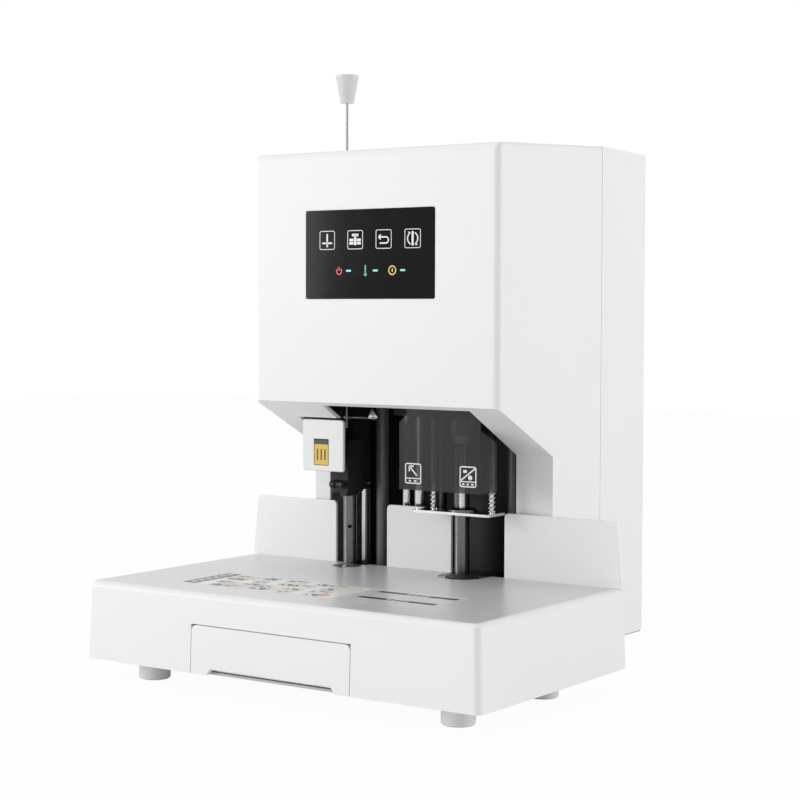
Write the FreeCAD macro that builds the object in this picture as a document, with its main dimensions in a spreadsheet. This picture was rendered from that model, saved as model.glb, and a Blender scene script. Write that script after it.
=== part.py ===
"""Document riveting machine: it drills a stack of paper and rivets it with a hot plastic tube.

Millimetres, +Z up, +X to the operator's right, front of the machine towards -Y.  The origin is the centre
of the machine's footprint on the desk.  Depths are measured back from the front of the base, and what
stands beside a working station is placed across and back from that station's axis.
"""
import FreeCAD, Part
import math
import os
import Sketcher

doc = FreeCAD.newDocument("RivetingMachine")
sheet = doc.addObject("Spreadsheet::Sheet", "dim")

# ---------------------------------------------------------------- driving dimensions
SIZES = {
    # clearances: running fit, seated piece, panel gap, and how far a cutting outline runs past a solid
    "run_gap": 0.05, "seat_gap": 0.3, "panel_gap": 0.7, "overrun": 1,
    # whole machine and base
    "base_width": 400, "base_depth": 226, "machine_depth": 401, "base_height": 66.7,
    "base_draft": 2.4, "base_wall": 3, "base_corner": 6, "base_edge": 5, "pan_thickness": 2,
    "table_inset": 6, "table_thickness": 1.6, "table_shelf": 4, "table_corner": 4,
    # feet
    "foot_height": 18.5, "foot_diameter": 27, "foot_edge": 1.2, "foot_inset": 44, "foot_front": 39,
    "foot_middle_gap": 61, "foot_rear_gap": 36, "foot_rear_inset": 27.45, "foot_recess": 12,
    "foot_screw": 4, "foot_screw_head": 8, "foot_screw_head_height": 3, "foot_screw_end": 2,
    # head and column shells
    "head_width": 254.9, "head_overhang": 85.4, "head_clearance": 151.2, "headroom": 29.6, "roof_rise": 8.5,
    "roof_edge": 3, "column_gap": 2.8, "slope_clearance": 106.8, "seam_back": 85.6, "shell_wall": 3,
    "shell_corner": 6, "rear_taper": 1.5, "rear_fall": 2.4, "mouth_lip": 3, "mouth_step_drop": 15.3,
    "mouth_margin_left": 16.95, "mouth_margin_right": 31.95, "mouth_lean": 4.5,
    "mouth_past_rivet": 17.2, "mouth_step_past_rivet": 14.3,
    # cooling slots in the rear cover
    "vent_rows": 8, "vent_width": 3, "vent_length": 50, "vent_pitch": 9, "vent_height": 300, "vent_side": 45,
    # fence
    "fence_height": 56.1, "fence_thickness": 2.5, "fence_gap": 0.2, "fence_draft": 5.6, "fence_corner": 4,
    "fence_edge": 0.6, "fence_clear": 0.7, "rivet_gap_right": 31.7, "drill_gap_left": 21.6,
    "drill_gap_right": 33.6,
    # control panel
    "panel_width": 135.3, "panel_height": 76.3, "panel_thickness": 1.4, "panel_sink": 1, "panel_side": -3,
    "panel_drop": 88.8, "panel_corner": 3, "panel_edge": 0.4, "board_thickness": 1.6, "board_margin": 7,
    "board_standoff": 5, "stud_inset": 5, "stud_diameter": 6,
    # working stations
    "rivet_side": -74, "rivet_setback": 21, "drill_side": 48.8, "drill_setback": 17.5,
    "rivet_tongue": 12.5, "drill_tongue": 21, "seat_drop": 0.8,
    # inner frame
    "plate_thickness": 6, "plate_gap": 13, "plate_side_gap": 4.45, "plate_top_gap": 17.6, "plate_corner": 8,
    "beam_drop": 8.7, "beam_height": 13, "beam_gap": 3, "beam_corner": 6, "deck_gap": 12,
    "deck_thickness": 8, "deck_window": 12, "post_diameter": 12, "post_gap": 3,
    # guide columns and feed screws
    "main_column": 14, "thin_rod": 8, "drill_rod": 10, "screw_diameter": 8,
    "rivet_column_across": -15.3, "rivet_column_back": 26, "rivet_rod_across": -6.6, "rivet_rod_back": 36,
    "rivet_screw_across": -14, "rivet_screw_back": 54, "left_post_across": 8, "left_post_back": 45,
    "drill_column_across": -15.6, "drill_column_back": 22.5, "drill_rod_across": -66.2,
    "drill_rod_back": 31.5, "stay_rod_across": -80.5, "stay_rod_back": 31.5,
    "drill_screw_across": -45.9, "drill_screw_back": 37.5,
    "column_hole": 3.4, "column_hole_side": 4, "column_hole_height": 33,
    "nut_wall": 1.4, "nut_flange": 18, "nut_flange_height": 4, "nut_land": 2,
    "feed_motor_width": 42, "feed_motor_height": 60, "feed_motor_corner": 4,
    # riveting slider
    "tip_gap": 63.8, "slider_height": 103, "slider_wall": 2.4, "arm_height": 47, "arm_width": 18,
    "arm_reach": 10, "block_back": 12, "nut_lug_height": 25, "lip_height": 3, "lip_width": 7,
    "lip_inset": 1, "lip_reach": 1, "lip_length": 17,
    "hot_head": 8, "hot_tip": 4, "hot_reach": 0.5, "hot_taper": 3, "tube_gap": 0.6,
    "knob_diameter": 7.6, "knob_length": 14, "knob_lift": 7.6, "knob_pin": 3, "knob_edge": 0.7,
    "ear_width": 3.4, "ear_nose": 3, "ear_wall": 1,
    "cover_width": 46, "cover_height": 46.2, "cover_lift": 20.2, "cover_reach": 28, "cover_depth": 2.6,
    "cover_wall": 1.6, "cover_across": -5.9, "cover_corner": 2.5, "cover_edge": 1.2,
    "heater_lift": 4, "heater_inset": 3,
    # tube latch above the arm
    "latch_lift": 20.3, "latch_back": 4, "latch_wall": 4, "latch_land": 4.5, "latch_pin": 2.5,
    "latch_nut": 6, "latch_nut_width": 3, "latch_length": 26, "latch_cap": 4, "latch_cap_width": 3,
    "lever_rise": 9, "lever_drop": 1, "lever_reach": 6.5, "lever_thickness": 3,
    # tube push rod
    "rod_diameter": 2.4, "rod_rise": 47.4, "rod_gap": 11, "rod_grip": 10, "rod_knob_height": 27.5,
    "rod_knob_small": 15.6, "rod_knob_large": 23.4, "rod_knob_rim": 3, "rod_knob_edge": 1,
    "rod_bush": 9, "bush_rim": 2, "bush_depth": 6, "bush_lift": 0.4, "bush_height": 1.2,
    # drilling carriage
    "stack_gap": 54.7, "drill_proud": 0.8, "spring_length": 81.4, "carriage_height": 24,
    "carriage_reach": 13.5, "carriage_wall": 4, "carriage_step": 14, "carriage_corner": 5,
    "housing_diameter": 36, "motor_plate_thickness": 7, "motor_plate_margin": 12.5,
    "motor_plate_overhang": 4, "motor_gap": 4,
    # drill motor and belt
    "motor_across": 36.2, "motor_back": 54.5, "motor_diameter": 50, "motor_length": 72, "motor_edge": 3,
    "motor_pilot": 9, "pilot_height": 2, "motor_shaft": 6, "pulley_lift": 2, "pulley_height": 11,
    "pulley_flange": 1.2, "pulley_lip": 3.5, "spindle_pulley": 28, "motor_pulley": 20, "belt_thickness": 2,
    # spindle
    "shaft_diameter": 12, "shaft_end": 2, "bearing_outer": 26, "bearing_height": 8, "bearing_inset": 2,
    "chuck_gap": 1, "chuck_diameter": 22, "chuck_height": 21, "chuck_taper": 7, "chuck_nose": 12,
    "drill_diameter": 6, "drill_bore": 4, "drill_bevel": 0.8,
    # press plate
    "press_thickness": 2.2, "press_left": 44.8, "press_right": 35, "press_reach": 13.5,
    "press_fence_gap": 0.9, "press_corner": 3, "post_spacing": 60, "press_post": 4,
    "post_head": 9, "post_head_height": 4,
    "collar_diameter": 25, "collar_height": 3.5, "collar_bore": 9, "collar_rim": 2, "collar_neck": 15,
    "spring_diameter": 7, "spring_wire": 1.1,
    # smoked guard
    "guard_left": 43.8, "guard_right": 39.7, "guard_reach": 33.5, "guard_height": 66, "guard_drop": 8.9,
    "guard_thickness": 2.5, "guard_corner": 8, "guard_gap": 2, "guard_neck": 18, "guard_return": 8,
    # cutting pad
    "pad_diameter": 30, "pad_thickness": 3,
    # paper bin
    "bin_left": 81, "bin_right": 80.5, "bin_height": 40, "bin_rear_gap": 27.6, "bin_wall": 2,
    "bin_corner": 5, "bin_lip": 4, "bin_drop": 3, "bin_lift": 1, "notch_left": 66, "notch_right": 68,
    "notch_height": 5.5, "notch_slant": 6, "runner_width": 4, "runner_height": 7, "runner_start": 2,
    "runner_past": 6,
    # mains inlet, switch and power supply
    "inlet_width": 27, "inlet_height": 20, "inlet_side": -70, "inlet_level": 60, "inlet_depth": 24,
    "inlet_wall": 2, "inlet_well": 16, "pin_depth": 5, "pin_pitch": 7, "pin_width": 2, "pin_height": 4,
    "switch_width": 22, "switch_height": 28, "switch_side": -30, "switch_depth": 20, "switch_well": 10,
    "rocker_width": 14, "rocker_height": 20, "rocker_pivot": 5, "rocker_tilt": 7, "rocker_end": 1,
    "rocker_crown": 3.2, "rocker_dip": 1.6, "rocker_skirt": 0.5, "rocker_keel": 3, "rocker_pin": 2.4,
    "rocker_pin_end": 2,
    "supply_width": 150, "supply_height": 90, "supply_depth": 40, "supply_side": 30, "supply_gap": 10,
}
for row, (alias, value) in enumerate(SIZES.items(), 1):
    sheet.set(f"A{row}", alias)
    sheet.set(f"B{row}", str(value))
    sheet.setAlias(f"B{row}", alias)
doc.recompute()

X, Y, Z = (FreeCAD.Vector(1, 0, 0), FreeCAD.Vector(0, 1, 0), FreeCAD.Vector(0, 0, 1))
SAME = 0.05  # two lengths this close count as the same, mm
ALONG = 0.995  # least cosine between an edge and the axis that it runs along
pieces = []


def beside(station, name):
    """Place of a part from its distances across and back from a station's axis."""
    return f"({station[0]} + dim.{name}_across)", f"({station[1]} + dim.{name}_back)"


# ---------------------------------------------------------------- places worked out from the sheet
FRONT = "-dim.machine_depth / 2"
BASE_HALF = "(dim.base_width / 2)"
HEAD_HALF = "(dim.head_width / 2)"
TABLE = "(dim.foot_height + dim.base_height)"
SHELF = f"({TABLE} - dim.table_thickness)"
PAN_TOP = "(dim.foot_height + dim.pan_thickness)"
CAVITY_HALF = f"({BASE_HALF} - dim.base_draft - dim.base_wall)"
CAVITY_FRONT = "(dim.base_draft + dim.base_wall)"
TABLE_HALF = f"({BASE_HALF} - dim.base_draft - dim.table_inset)"
TABLE_FRONT = "(dim.base_draft + dim.table_inset)"
THROAT_HALF = f"({HEAD_HALF} - dim.shell_wall - dim.seat_gap)"
FENCE_DEPTH = "(dim.base_depth - dim.fence_gap - dim.fence_thickness)"
BIN_TOP = "(dim.foot_height + dim.bin_height)"
BIN_REAR = "(dim.base_depth - dim.bin_rear_gap)"

# working stations and what stands beside them
RIVET = ("dim.rivet_side", "(dim.base_depth - dim.rivet_setback)")
DRILL = ("dim.drill_side", "(dim.base_depth - dim.drill_setback)")
RIVET_COLUMN, RIVET_ROD = beside(RIVET, "rivet_column"), beside(RIVET, "rivet_rod")
RIVET_SCREW, LEFT_POST = beside(RIVET, "rivet_screw"), beside(RIVET, "left_post")
DRILL_COLUMN, DRILL_ROD = beside(DRILL, "drill_column"), beside(DRILL, "drill_rod")
DRILL_SCREW, STAY_ROD = beside(DRILL, "drill_screw"), beside(DRILL, "stay_rod")
MOTOR = beside(DRILL, "motor")
PLATE_DEPTH = f"({MOTOR[1]} + dim.motor_diameter / 2 + dim.plate_gap)"
PLATE_HALF = f"({HEAD_HALF} - dim.shell_wall - dim.plate_side_gap)"
RIGHT_POST = (f"({MOTOR[0]} - dim.motor_diameter / 2 - dim.post_diameter / 2 - dim.post_gap)",
              f"({PLATE_DEPTH} - dim.post_diameter / 2 - dim.post_gap)")

# heights of the drilling station, built up from the table to the roof
PRESS_BOTTOM = f"({TABLE} + dim.stack_gap)"
PRESS_TOP = f"({PRESS_BOTTOM} + dim.press_thickness)"
CARRIAGE_BOTTOM = f"({PRESS_TOP} + dim.spring_length)"
CARRIAGE_TOP = f"({CARRIAGE_BOTTOM} + dim.carriage_height)"
MOTOR_PLATE = f"({CARRIAGE_TOP} + dim.motor_gap + dim.motor_length)"
MOTOR_PLATE_TOP = f"({MOTOR_PLATE} + dim.motor_plate_thickness)"
PULLEY_FOOT = f"({MOTOR_PLATE_TOP} + dim.pulley_lift)"
PULLEY_TOP = f"({PULLEY_FOOT} + dim.pulley_height)"
DECK_BOTTOM = f"({PULLEY_TOP} + dim.deck_gap)"
DECK_TOP = f"({DECK_BOTTOM} + dim.deck_thickness)"
HEAD_TOP = f"({DECK_TOP} + dim.feed_motor_height + dim.headroom)"
BEAM_TOP = f"({TABLE} - dim.beam_drop)"
BEAM_BOTTOM = f"({BEAM_TOP} - dim.beam_height)"

# heights of the riveting station
HOT_TIP = f"({TABLE} + dim.tip_gap)"
SLIDER_BOTTOM = f"({HOT_TIP} + dim.hot_reach + dim.lip_height)"
SLIDER_TOP = f"({SLIDER_BOTTOM} + dim.slider_height)"
ARM_TOP = f"({SLIDER_BOTTOM} + dim.arm_height)"
ARM_FRONT = f"({RIVET[1]} - dim.arm_reach)"
ARM_LEFT, ARM_RIGHT = f"({RIVET[0]} - dim.arm_width / 2)", f"({RIVET[0]} + dim.arm_width / 2)"
SLIDER_LEFT = f"({RIVET_COLUMN[0]} - dim.main_column / 2 - dim.slider_wall)"
KNOB_DEPTH = f"({ARM_FRONT} - dim.knob_diameter / 2 - dim.seat_gap)"
KNOB_HEIGHT = f"({SLIDER_BOTTOM} + dim.knob_lift)"
COVER_FRONT = f"({RIVET[1]} - dim.cover_reach)"
COVER_BOTTOM = f"({SLIDER_BOTTOM} + dim.cover_lift)"

# outline of the head and its mouth
HEAD_FRONT = "(dim.base_depth - dim.head_overhang)"
COLUMN_FRONT = "(dim.base_depth + dim.column_gap)"
SEAM = "(dim.base_depth + dim.seam_back)"
COVER_EDGE = f"({SEAM} + dim.panel_gap)"
HEAD_BOTTOM = f"({TABLE} + dim.head_clearance)"
SLOPE_FOOT = f"({TABLE} + dim.slope_clearance)"
SLOPE = "((dim.head_clearance - dim.slope_clearance) / (dim.head_overhang + dim.column_gap))"
MOUTH_LEFT = f"(dim.mouth_margin_left - {HEAD_HALF})"
MOUTH_RIGHT = f"({HEAD_HALF} - dim.mouth_margin_right)"
MOUTH_NOTCH = f"({RIVET[0]} + dim.cover_across - dim.cover_width / 2 - dim.panel_gap)"
PANEL_MIDDLE = f"({HEAD_TOP} - dim.panel_drop)"

# gaps in the fence, left and right edge
RIVET_GAP = (f"({SLIDER_LEFT} - dim.fence_clear)", f"({RIVET[0]} + dim.rivet_gap_right)")
DRILL_GAP = (f"({DRILL[0]} - dim.drill_gap_left)", f"({DRILL[0]} + dim.drill_gap_right)")


# ---------------------------------------------------------------- drawing helpers
def number(expression):
    """Value of an expression on the sheet."""
    return float(sheet.evalExpression(str(expression)))


def piece(name, x="0", y="0", z="0"):
    """An empty body whose origin is at x, y (back from the base's front) and z (up from the desk)."""
    body = doc.addObject("PartDesign::Body", name)
    body.Label = name
    body.AllowCompound = True
    body.setExpression("Placement.Base.x", x)
    body.setExpression("Placement.Base.y", f"{y} + ({FRONT})")
    body.setExpression("Placement.Base.z", z)
    pieces.append(body)
    return body


def sketch_on(body, plane, offset="0"):
    """A sketch on one of the body's own planes, moved along the plane's normal."""
    sketch = body.newObject("Sketcher::SketchObject", body.Name + "_sketch")
    support = [f for f in body.Origin.OriginFeatures if f.Role == plane][0]
    sketch.AttachmentSupport = [(support, "")]
    sketch.MapMode = "FlatFace"
    sketch.setExpression("AttachmentOffset.Base.z", offset)
    return sketch


def upright(body, depth="0"):
    """A sketch seen from the front, standing at a depth behind the body's origin."""
    return sketch_on(body, "XZ_Plane", f"-({depth})")


def fix_point(sketch, geometry, position, x=None, y=None):
    """Tie one sketch point to its expressions."""
    for kind, text in (("DistanceX", x), ("DistanceY", y)):
        if text is None:
            continue
        index = sketch.addConstraint(Sketcher.Constraint(kind, -1, 1, geometry, position, number(text)))
        sketch.setExpression(f"Constraints[{index}]", text)


def polygon(sketch, corners):
    """A closed outline through corners given as pairs of expressions."""
    first = sketch.GeometryCount
    count = len(corners)
    spots = [FreeCAD.Vector(number(x), number(y), 0) for x, y in corners]
    for i in range(count):
        sketch.addGeometry(Part.LineSegment(spots[i], spots[(i + 1) % count]))
    for i in range(count):
        sketch.addConstraint(Sketcher.Constraint("Coincident", first + i, 2, first + (i + 1) % count, 1))
        fix_point(sketch, first + i, 1, *corners[i])


def rectangle(sketch, left, right, low, high):
    """An upright rectangle between four expressions."""
    polygon(sketch, [(left, low), (right, low), (right, high), (left, high)])


def centred(sketch, x, y, width, height, margin="0"):
    """A rectangle about a centre, grown by a margin."""
    across, up = f"({width} / 2 + {margin})", f"({height} / 2 + {margin})"
    rectangle(sketch, f"{x} - {across}", f"{x} + {across}", f"{y} - {up}", f"{y} + {up}")


def circle(sketch, x, y, radius):
    """A circle whose centre and radius are expressions."""
    centre = FreeCAD.Vector(number(x), number(y), 0)
    index = sketch.addGeometry(Part.Circle(centre, Z, number(radius)))
    fix_point(sketch, index, 3, x, y)
    size = sketch.addConstraint(Sketcher.Constraint("Radius", index, number(radius)))
    sketch.setExpression(f"Constraints[{size}]", radius)


def tongue(sketch, x, y, radius, rear):
    """A U-shaped outline: a half circle towards the front with straight sides back to rear."""
    cx, cy, r, back = number(x), number(y), number(radius), number(rear)
    arc = Part.ArcOfCircle(Part.Circle(FreeCAD.Vector(cx, cy, 0), Z, r), math.pi, 2 * math.pi)
    start = sketch.GeometryCount
    sketch.addGeometry(arc)
    sketch.addGeometry(Part.LineSegment(FreeCAD.Vector(cx + r, cy, 0), FreeCAD.Vector(cx + r, back, 0)))
    sketch.addGeometry(Part.LineSegment(FreeCAD.Vector(cx + r, back, 0), FreeCAD.Vector(cx - r, back, 0)))
    sketch.addGeometry(Part.LineSegment(FreeCAD.Vector(cx - r, back, 0), FreeCAD.Vector(cx - r, cy, 0)))
    for i in range(4):
        sketch.addConstraint(Sketcher.Constraint("Coincident", start + i, 2, start + (i + 1) % 4, 1))
    fix_point(sketch, start, 3, x, y)
    fix_point(sketch, start + 2, 1, f"{x} + ({radius})", rear)
    fix_point(sketch, start + 3, 1, f"{x} - ({radius})", rear)
    fix_point(sketch, start, 2, f"{x} + ({radius})", y)
    fix_point(sketch, start, 1, y=y)


def backwards(sketch, plus):
    """True where a feature has to be turned round to run plus or minus along its sketch's normal."""
    normal_is_plus = sketch.AttachmentSupport[0][0].Role != "XZ_Plane"
    return normal_is_plus != plus


def extrude(body, sketch, length, midplane=False, plus=True):
    """Add a sketch to the body as a pad, towards plus or minus of the axis it faces."""
    pad = body.newObject("PartDesign::Pad", body.Name + "_pad")
    pad.Profile = sketch
    pad.setExpression("Length", length)
    pad.Midplane = midplane
    pad.Reversed = backwards(sketch, plus)
    doc.recompute()
    return pad


def cut(body, sketch, depth=None, midplane=False, plus=False):
    """Take a sketch out of the body, through all of it where no depth is given, and make sure it cut."""
    before = body.Shape.Volume
    pocket = body.newObject("PartDesign::Pocket", body.Name + "_pocket")
    pocket.Profile = sketch
    if depth is None:
        pocket.Type = "ThroughAll"
        pocket.Midplane = True
    else:
        pocket.setExpression("Length", depth)
        pocket.Midplane = midplane
        pocket.Reversed = not backwards(sketch, plus)
    doc.recompute()
    if not body.Shape.Volume < before:
        raise ValueError(f"{body.Label}: {sketch.Name} cuts nothing")
    return pocket


def spin(body, sketch, axis="V_Axis"):
    """Turn a half section about the sketch's upright (or level) axis."""
    turn = body.newObject("PartDesign::Revolution", body.Name + "_turn")
    turn.Profile = sketch
    turn.ReferenceAxis = (sketch, [axis])
    turn.Angle = 360
    doc.recompute()
    return turn


def blend(body, radius, chosen, chamfer=False):
    """Round (or chamfer) the edges of the body's tip for which chosen(edge) is true."""
    base = body.Tip
    names = [f"Edge{i}" for i, edge in enumerate(base.Shape.Edges, 1) if chosen(edge)]
    if not names:
        raise ValueError(f"{body.Label}: no edge to round")
    kind = "PartDesign::Chamfer" if chamfer else "PartDesign::Fillet"
    feature = body.newObject(kind, body.Name + "_edges")
    feature.Base = (base, names)
    feature.setExpression("Size" if chamfer else "Radius", radius)
    doc.recompute()
    return feature


def runs(edge, axis):
    """True where a straight edge runs along an axis, or within a few degrees of it."""
    if len(edge.Vertexes) < 2:
        return False
    chord = edge.Vertexes[1].Point - edge.Vertexes[0].Point
    return abs(chord.Length - edge.Length) < SAME and abs(chord.dot(axis)) > ALONG * chord.Length


def lies(edge, x=None, y=None, z=None):
    """True where the middle of an edge is at the given coordinates."""
    middle = edge.valueAt((edge.FirstParameter + edge.LastParameter) / 2)
    wanted = ((x, middle.x), (y, middle.y), (z, middle.z))
    return all(w is None or abs(number(w) - found) < SAME for w, found in wanted)


def turned(name, profile, x, y, z="0"):
    """A piece turned about an upright axis from a half section of (radius, height) pairs."""
    body = piece(name, x, y, z)
    sketch = upright(body)
    polygon(sketch, profile)
    spin(body, sketch)
    return body


def rod(name, x, y, low, high, diameter, bore=None):
    """A round rod or tube standing between two heights."""
    inner = f"{bore} / 2" if bore else "0"
    profile = [(inner, low), (f"{diameter} / 2", low), (f"{diameter} / 2", high), (inner, high)]
    return turned(name, profile, x, y)


def slab(name, corners, low, height):
    """A flat plate from a plan outline."""
    body = piece(name)
    sketch = sketch_on(body, "XY_Plane", low)
    polygon(sketch, corners)
    extrude(body, sketch, height)
    return body


def bores(body, holes):
    """Upright through holes, each (x, y, radius)."""
    sketch = sketch_on(body, "XY_Plane")
    for hole in holes:
        circle(sketch, *hole)
    cut(body, sketch)


def running(diameter):
    """Radius of a bore in which a shaft of this diameter runs."""
    return f"{diameter} / 2 + dim.run_gap"


def box_corners(left, right, front, rear):
    """Plan outline of a rectangle."""
    return [(left, front), (right, front), (right, rear), (left, rear)]


# ---------------------------------------------------------------- feet and base
def foot_spots():
    """Centres of the six feet: four under the base and two under the column."""
    side, rear_side = f"({BASE_HALF} - dim.foot_inset)", f"({HEAD_HALF} - dim.foot_rear_inset)"
    rows = [(side, "dim.foot_front"), (side, "(dim.base_depth - dim.foot_middle_gap)"),
            (rear_side, "(dim.machine_depth - dim.foot_rear_gap)")]
    return [(f"{sign}{across}", depth) for across, depth in rows for sign in ("", "-")]


def make_rubber_feet():
    """Round feet with a recess from below for the screw's head."""
    feet = piece("rubber_feet")
    rings = sketch_on(feet, "XY_Plane")
    for x, y in foot_spots():
        circle(rings, x, y, "dim.foot_diameter / 2")
    extrude(feet, rings, "dim.foot_height")
    blend(feet, "dim.foot_edge", lambda e: lies(e, z="0"), chamfer=True)
    recess = sketch_on(feet, "XY_Plane")
    for x, y in foot_spots():
        circle(recess, x, y, "dim.foot_screw_head / 2 + dim.seat_gap")
    cut(feet, recess, "dim.foot_recess", plus=True)
    bores(feet, [(x, y, running("dim.foot_screw")) for x, y in foot_spots()])


def make_foot_screws():
    """Pan-head screws that hold the feet to the bottom pan."""
    screws = piece("foot_screws")
    low = "(dim.foot_recess - dim.foot_screw_head_height)"
    heads = sketch_on(screws, "XY_Plane", low)
    shanks = sketch_on(screws, "XY_Plane", low)
    for x, y in foot_spots():
        circle(heads, x, y, "dim.foot_screw_head / 2")
        circle(shanks, x, y, "dim.foot_screw / 2")
    extrude(screws, heads, "dim.foot_screw_head_height")
    extrude(screws, shanks, f"{PAN_TOP} + dim.foot_screw_end - {low}")


def make_bottom_pan():
    """Steel pan that closes the base and the column from below."""
    side = f"({CAVITY_HALF} - dim.seat_gap)"
    front = f"{CAVITY_FRONT} + dim.seat_gap"
    neck = "dim.base_depth - dim.base_wall - dim.seat_gap"
    throat = f"({THROAT_HALF} - dim.seat_gap)"
    rear = "dim.machine_depth - dim.shell_wall"
    right = [(side, front), (side, neck), (throat, neck), (throat, rear)]
    left = [(f"-{x}", y) for x, y in reversed(right)]
    pan = slab("bottom_pan", right + left, "dim.foot_height", "dim.pan_thickness")
    bores(pan, [(x, y, running("dim.foot_screw")) for x, y in foot_spots()])


def make_base_housing():
    """Moulded base shell: drafted front and sides, ledge for the table, mouth for the bin."""
    body = piece("base_housing")
    side = sketch_on(body, "YZ_Plane")
    polygon(side, [("0", "dim.foot_height"), ("dim.base_depth", "dim.foot_height"),
                   ("dim.base_depth", TABLE), ("dim.base_draft", TABLE)])
    extrude(body, side, "dim.base_width", midplane=True)
    wedges = upright(body, "dim.base_depth + dim.overrun")
    for sign in ("-", "+"):
        polygon(wedges, [(f"0 {sign} {BASE_HALF}", "dim.foot_height"),
                         (f"0 {sign} ({BASE_HALF} + dim.overrun)", "dim.foot_height"),
                         (f"0 {sign} ({BASE_HALF} + dim.overrun)", f"{TABLE} + dim.overrun"),
                         (f"0 {sign} ({BASE_HALF} - dim.base_draft)", f"{TABLE} + dim.overrun"),
                         (f"0 {sign} ({BASE_HALF} - dim.base_draft)", TABLE)])
    cut(body, wedges, "dim.base_depth + 2 * dim.overrun")
    blend(body, "dim.base_corner", lambda e: runs(e, Z) and e.CenterOfMass.y < number("dim.base_corner"))
    blend(body, "dim.base_edge", lambda e: lies(e, z=TABLE) and not lies(e, y="dim.base_depth"))
    cavity = sketch_on(body, "XY_Plane", "dim.foot_height")
    rectangle(cavity, f"-{CAVITY_HALF}", CAVITY_HALF, CAVITY_FRONT, "dim.base_depth - dim.base_wall")
    cut(body, cavity, f"{SHELF} - dim.table_shelf - dim.foot_height", plus=True)
    throat = upright(body, "dim.base_depth + dim.overrun")
    rectangle(throat, f"-{THROAT_HALF}", THROAT_HALF, "dim.foot_height - dim.overrun",
              f"{SHELF} - dim.table_shelf")
    cut(body, throat, "dim.base_wall + 2 * dim.overrun")
    mouth = upright(body, "-dim.overrun")
    rectangle(mouth, "-dim.bin_left - dim.panel_gap", "dim.bin_right + dim.panel_gap",
              "dim.foot_height - dim.overrun", f"{BIN_TOP} + dim.panel_gap")
    cut(body, mouth, f"{CAVITY_FRONT} + 2 * dim.overrun", plus=True)
    ledge = sketch_on(body, "XY_Plane", TABLE)
    rectangle(ledge, f"-{TABLE_HALF} - dim.seat_gap", f"{TABLE_HALF} + dim.seat_gap",
              f"{TABLE_FRONT} - dim.seat_gap", "dim.base_depth + dim.overrun")
    cut(body, ledge, "dim.table_thickness")
    open_stations(body)


def open_stations(body):
    """Notches for the two seats and the fence gaps, through a plate under the stations."""
    for station, radius in ((RIVET, "dim.rivet_tongue"), (DRILL, "dim.drill_tongue")):
        notch = sketch_on(body, "XY_Plane", f"{SHELF} - dim.table_shelf")
        tongue(notch, *station, f"{radius} + dim.seat_gap", "dim.base_depth + dim.overrun")
        cut(body, notch, "dim.table_shelf + dim.table_thickness", plus=True)
    for left, right in (RIVET_GAP, DRILL_GAP):
        gap = sketch_on(body, "XY_Plane", f"{SHELF} - dim.table_shelf")
        rectangle(gap, left, right, FENCE_DEPTH, "dim.base_depth + dim.overrun")
        cut(body, gap, "dim.table_shelf + dim.table_thickness", plus=True)


def make_table_plate():
    """Coated steel plate that the paper lies on."""
    plate = slab("table_plate", box_corners(f"-{TABLE_HALF}", TABLE_HALF, TABLE_FRONT, "dim.base_depth"),
                 SHELF, "dim.table_thickness")
    blend(plate, "dim.table_corner", lambda e: runs(e, Z) and lies(e, y=TABLE_FRONT))
    open_stations(plate)


# ---------------------------------------------------------------- fence
def make_fence(name, left, right, left_draft="0", right_draft="0"):
    """One upright paper stop: a coated sheet standing on the table with rounded top corners."""
    fence = piece(name)
    sketch = upright(fence, FENCE_DEPTH)
    top = f"{TABLE} + dim.fence_height"
    polygon(sketch, [(left, TABLE), (right, TABLE), (f"{right} - {right_draft}", top),
                     (f"{left} + {left_draft}", top)])
    extrude(fence, sketch, "dim.fence_thickness")
    blend(fence, "dim.fence_corner", lambda e: runs(e, Y) and lies(e, z=top))
    blend(fence, "dim.fence_edge", lambda e: lies(e, y=FENCE_DEPTH) and not lies(e, z=TABLE))


def make_fences():
    """Three stops in line, with gaps where the two stations work."""
    edge = f"({BASE_HALF} - dim.base_draft)"
    make_fence("left_fence", f"-{edge}", RIVET_GAP[0], left_draft="dim.fence_draft")
    make_fence("centre_fence", RIVET_GAP[1], DRILL_GAP[0])
    make_fence("right_fence", DRILL_GAP[1], edge, right_draft="dim.fence_draft")


# ---------------------------------------------------------------- head, column and rear shells
def head_outline(wall, floor, rear):
    """Side view of the head and column, moved inwards by a wall."""
    front = f"({HEAD_FRONT} + {wall})"
    column = f"({COLUMN_FRONT} + {wall})"
    lift = f"{wall} * (sqrt(1 + {SLOPE} * {SLOPE}) - {SLOPE})"
    roof = f"({HEAD_TOP} - {wall})"
    return [(front, f"{HEAD_BOTTOM} + {lift}"), (front, roof), (rear, f"{roof} + dim.roof_rise"),
            (rear, floor), (column, floor), (column, f"{SLOPE_FOOT} + {lift}")]


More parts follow.
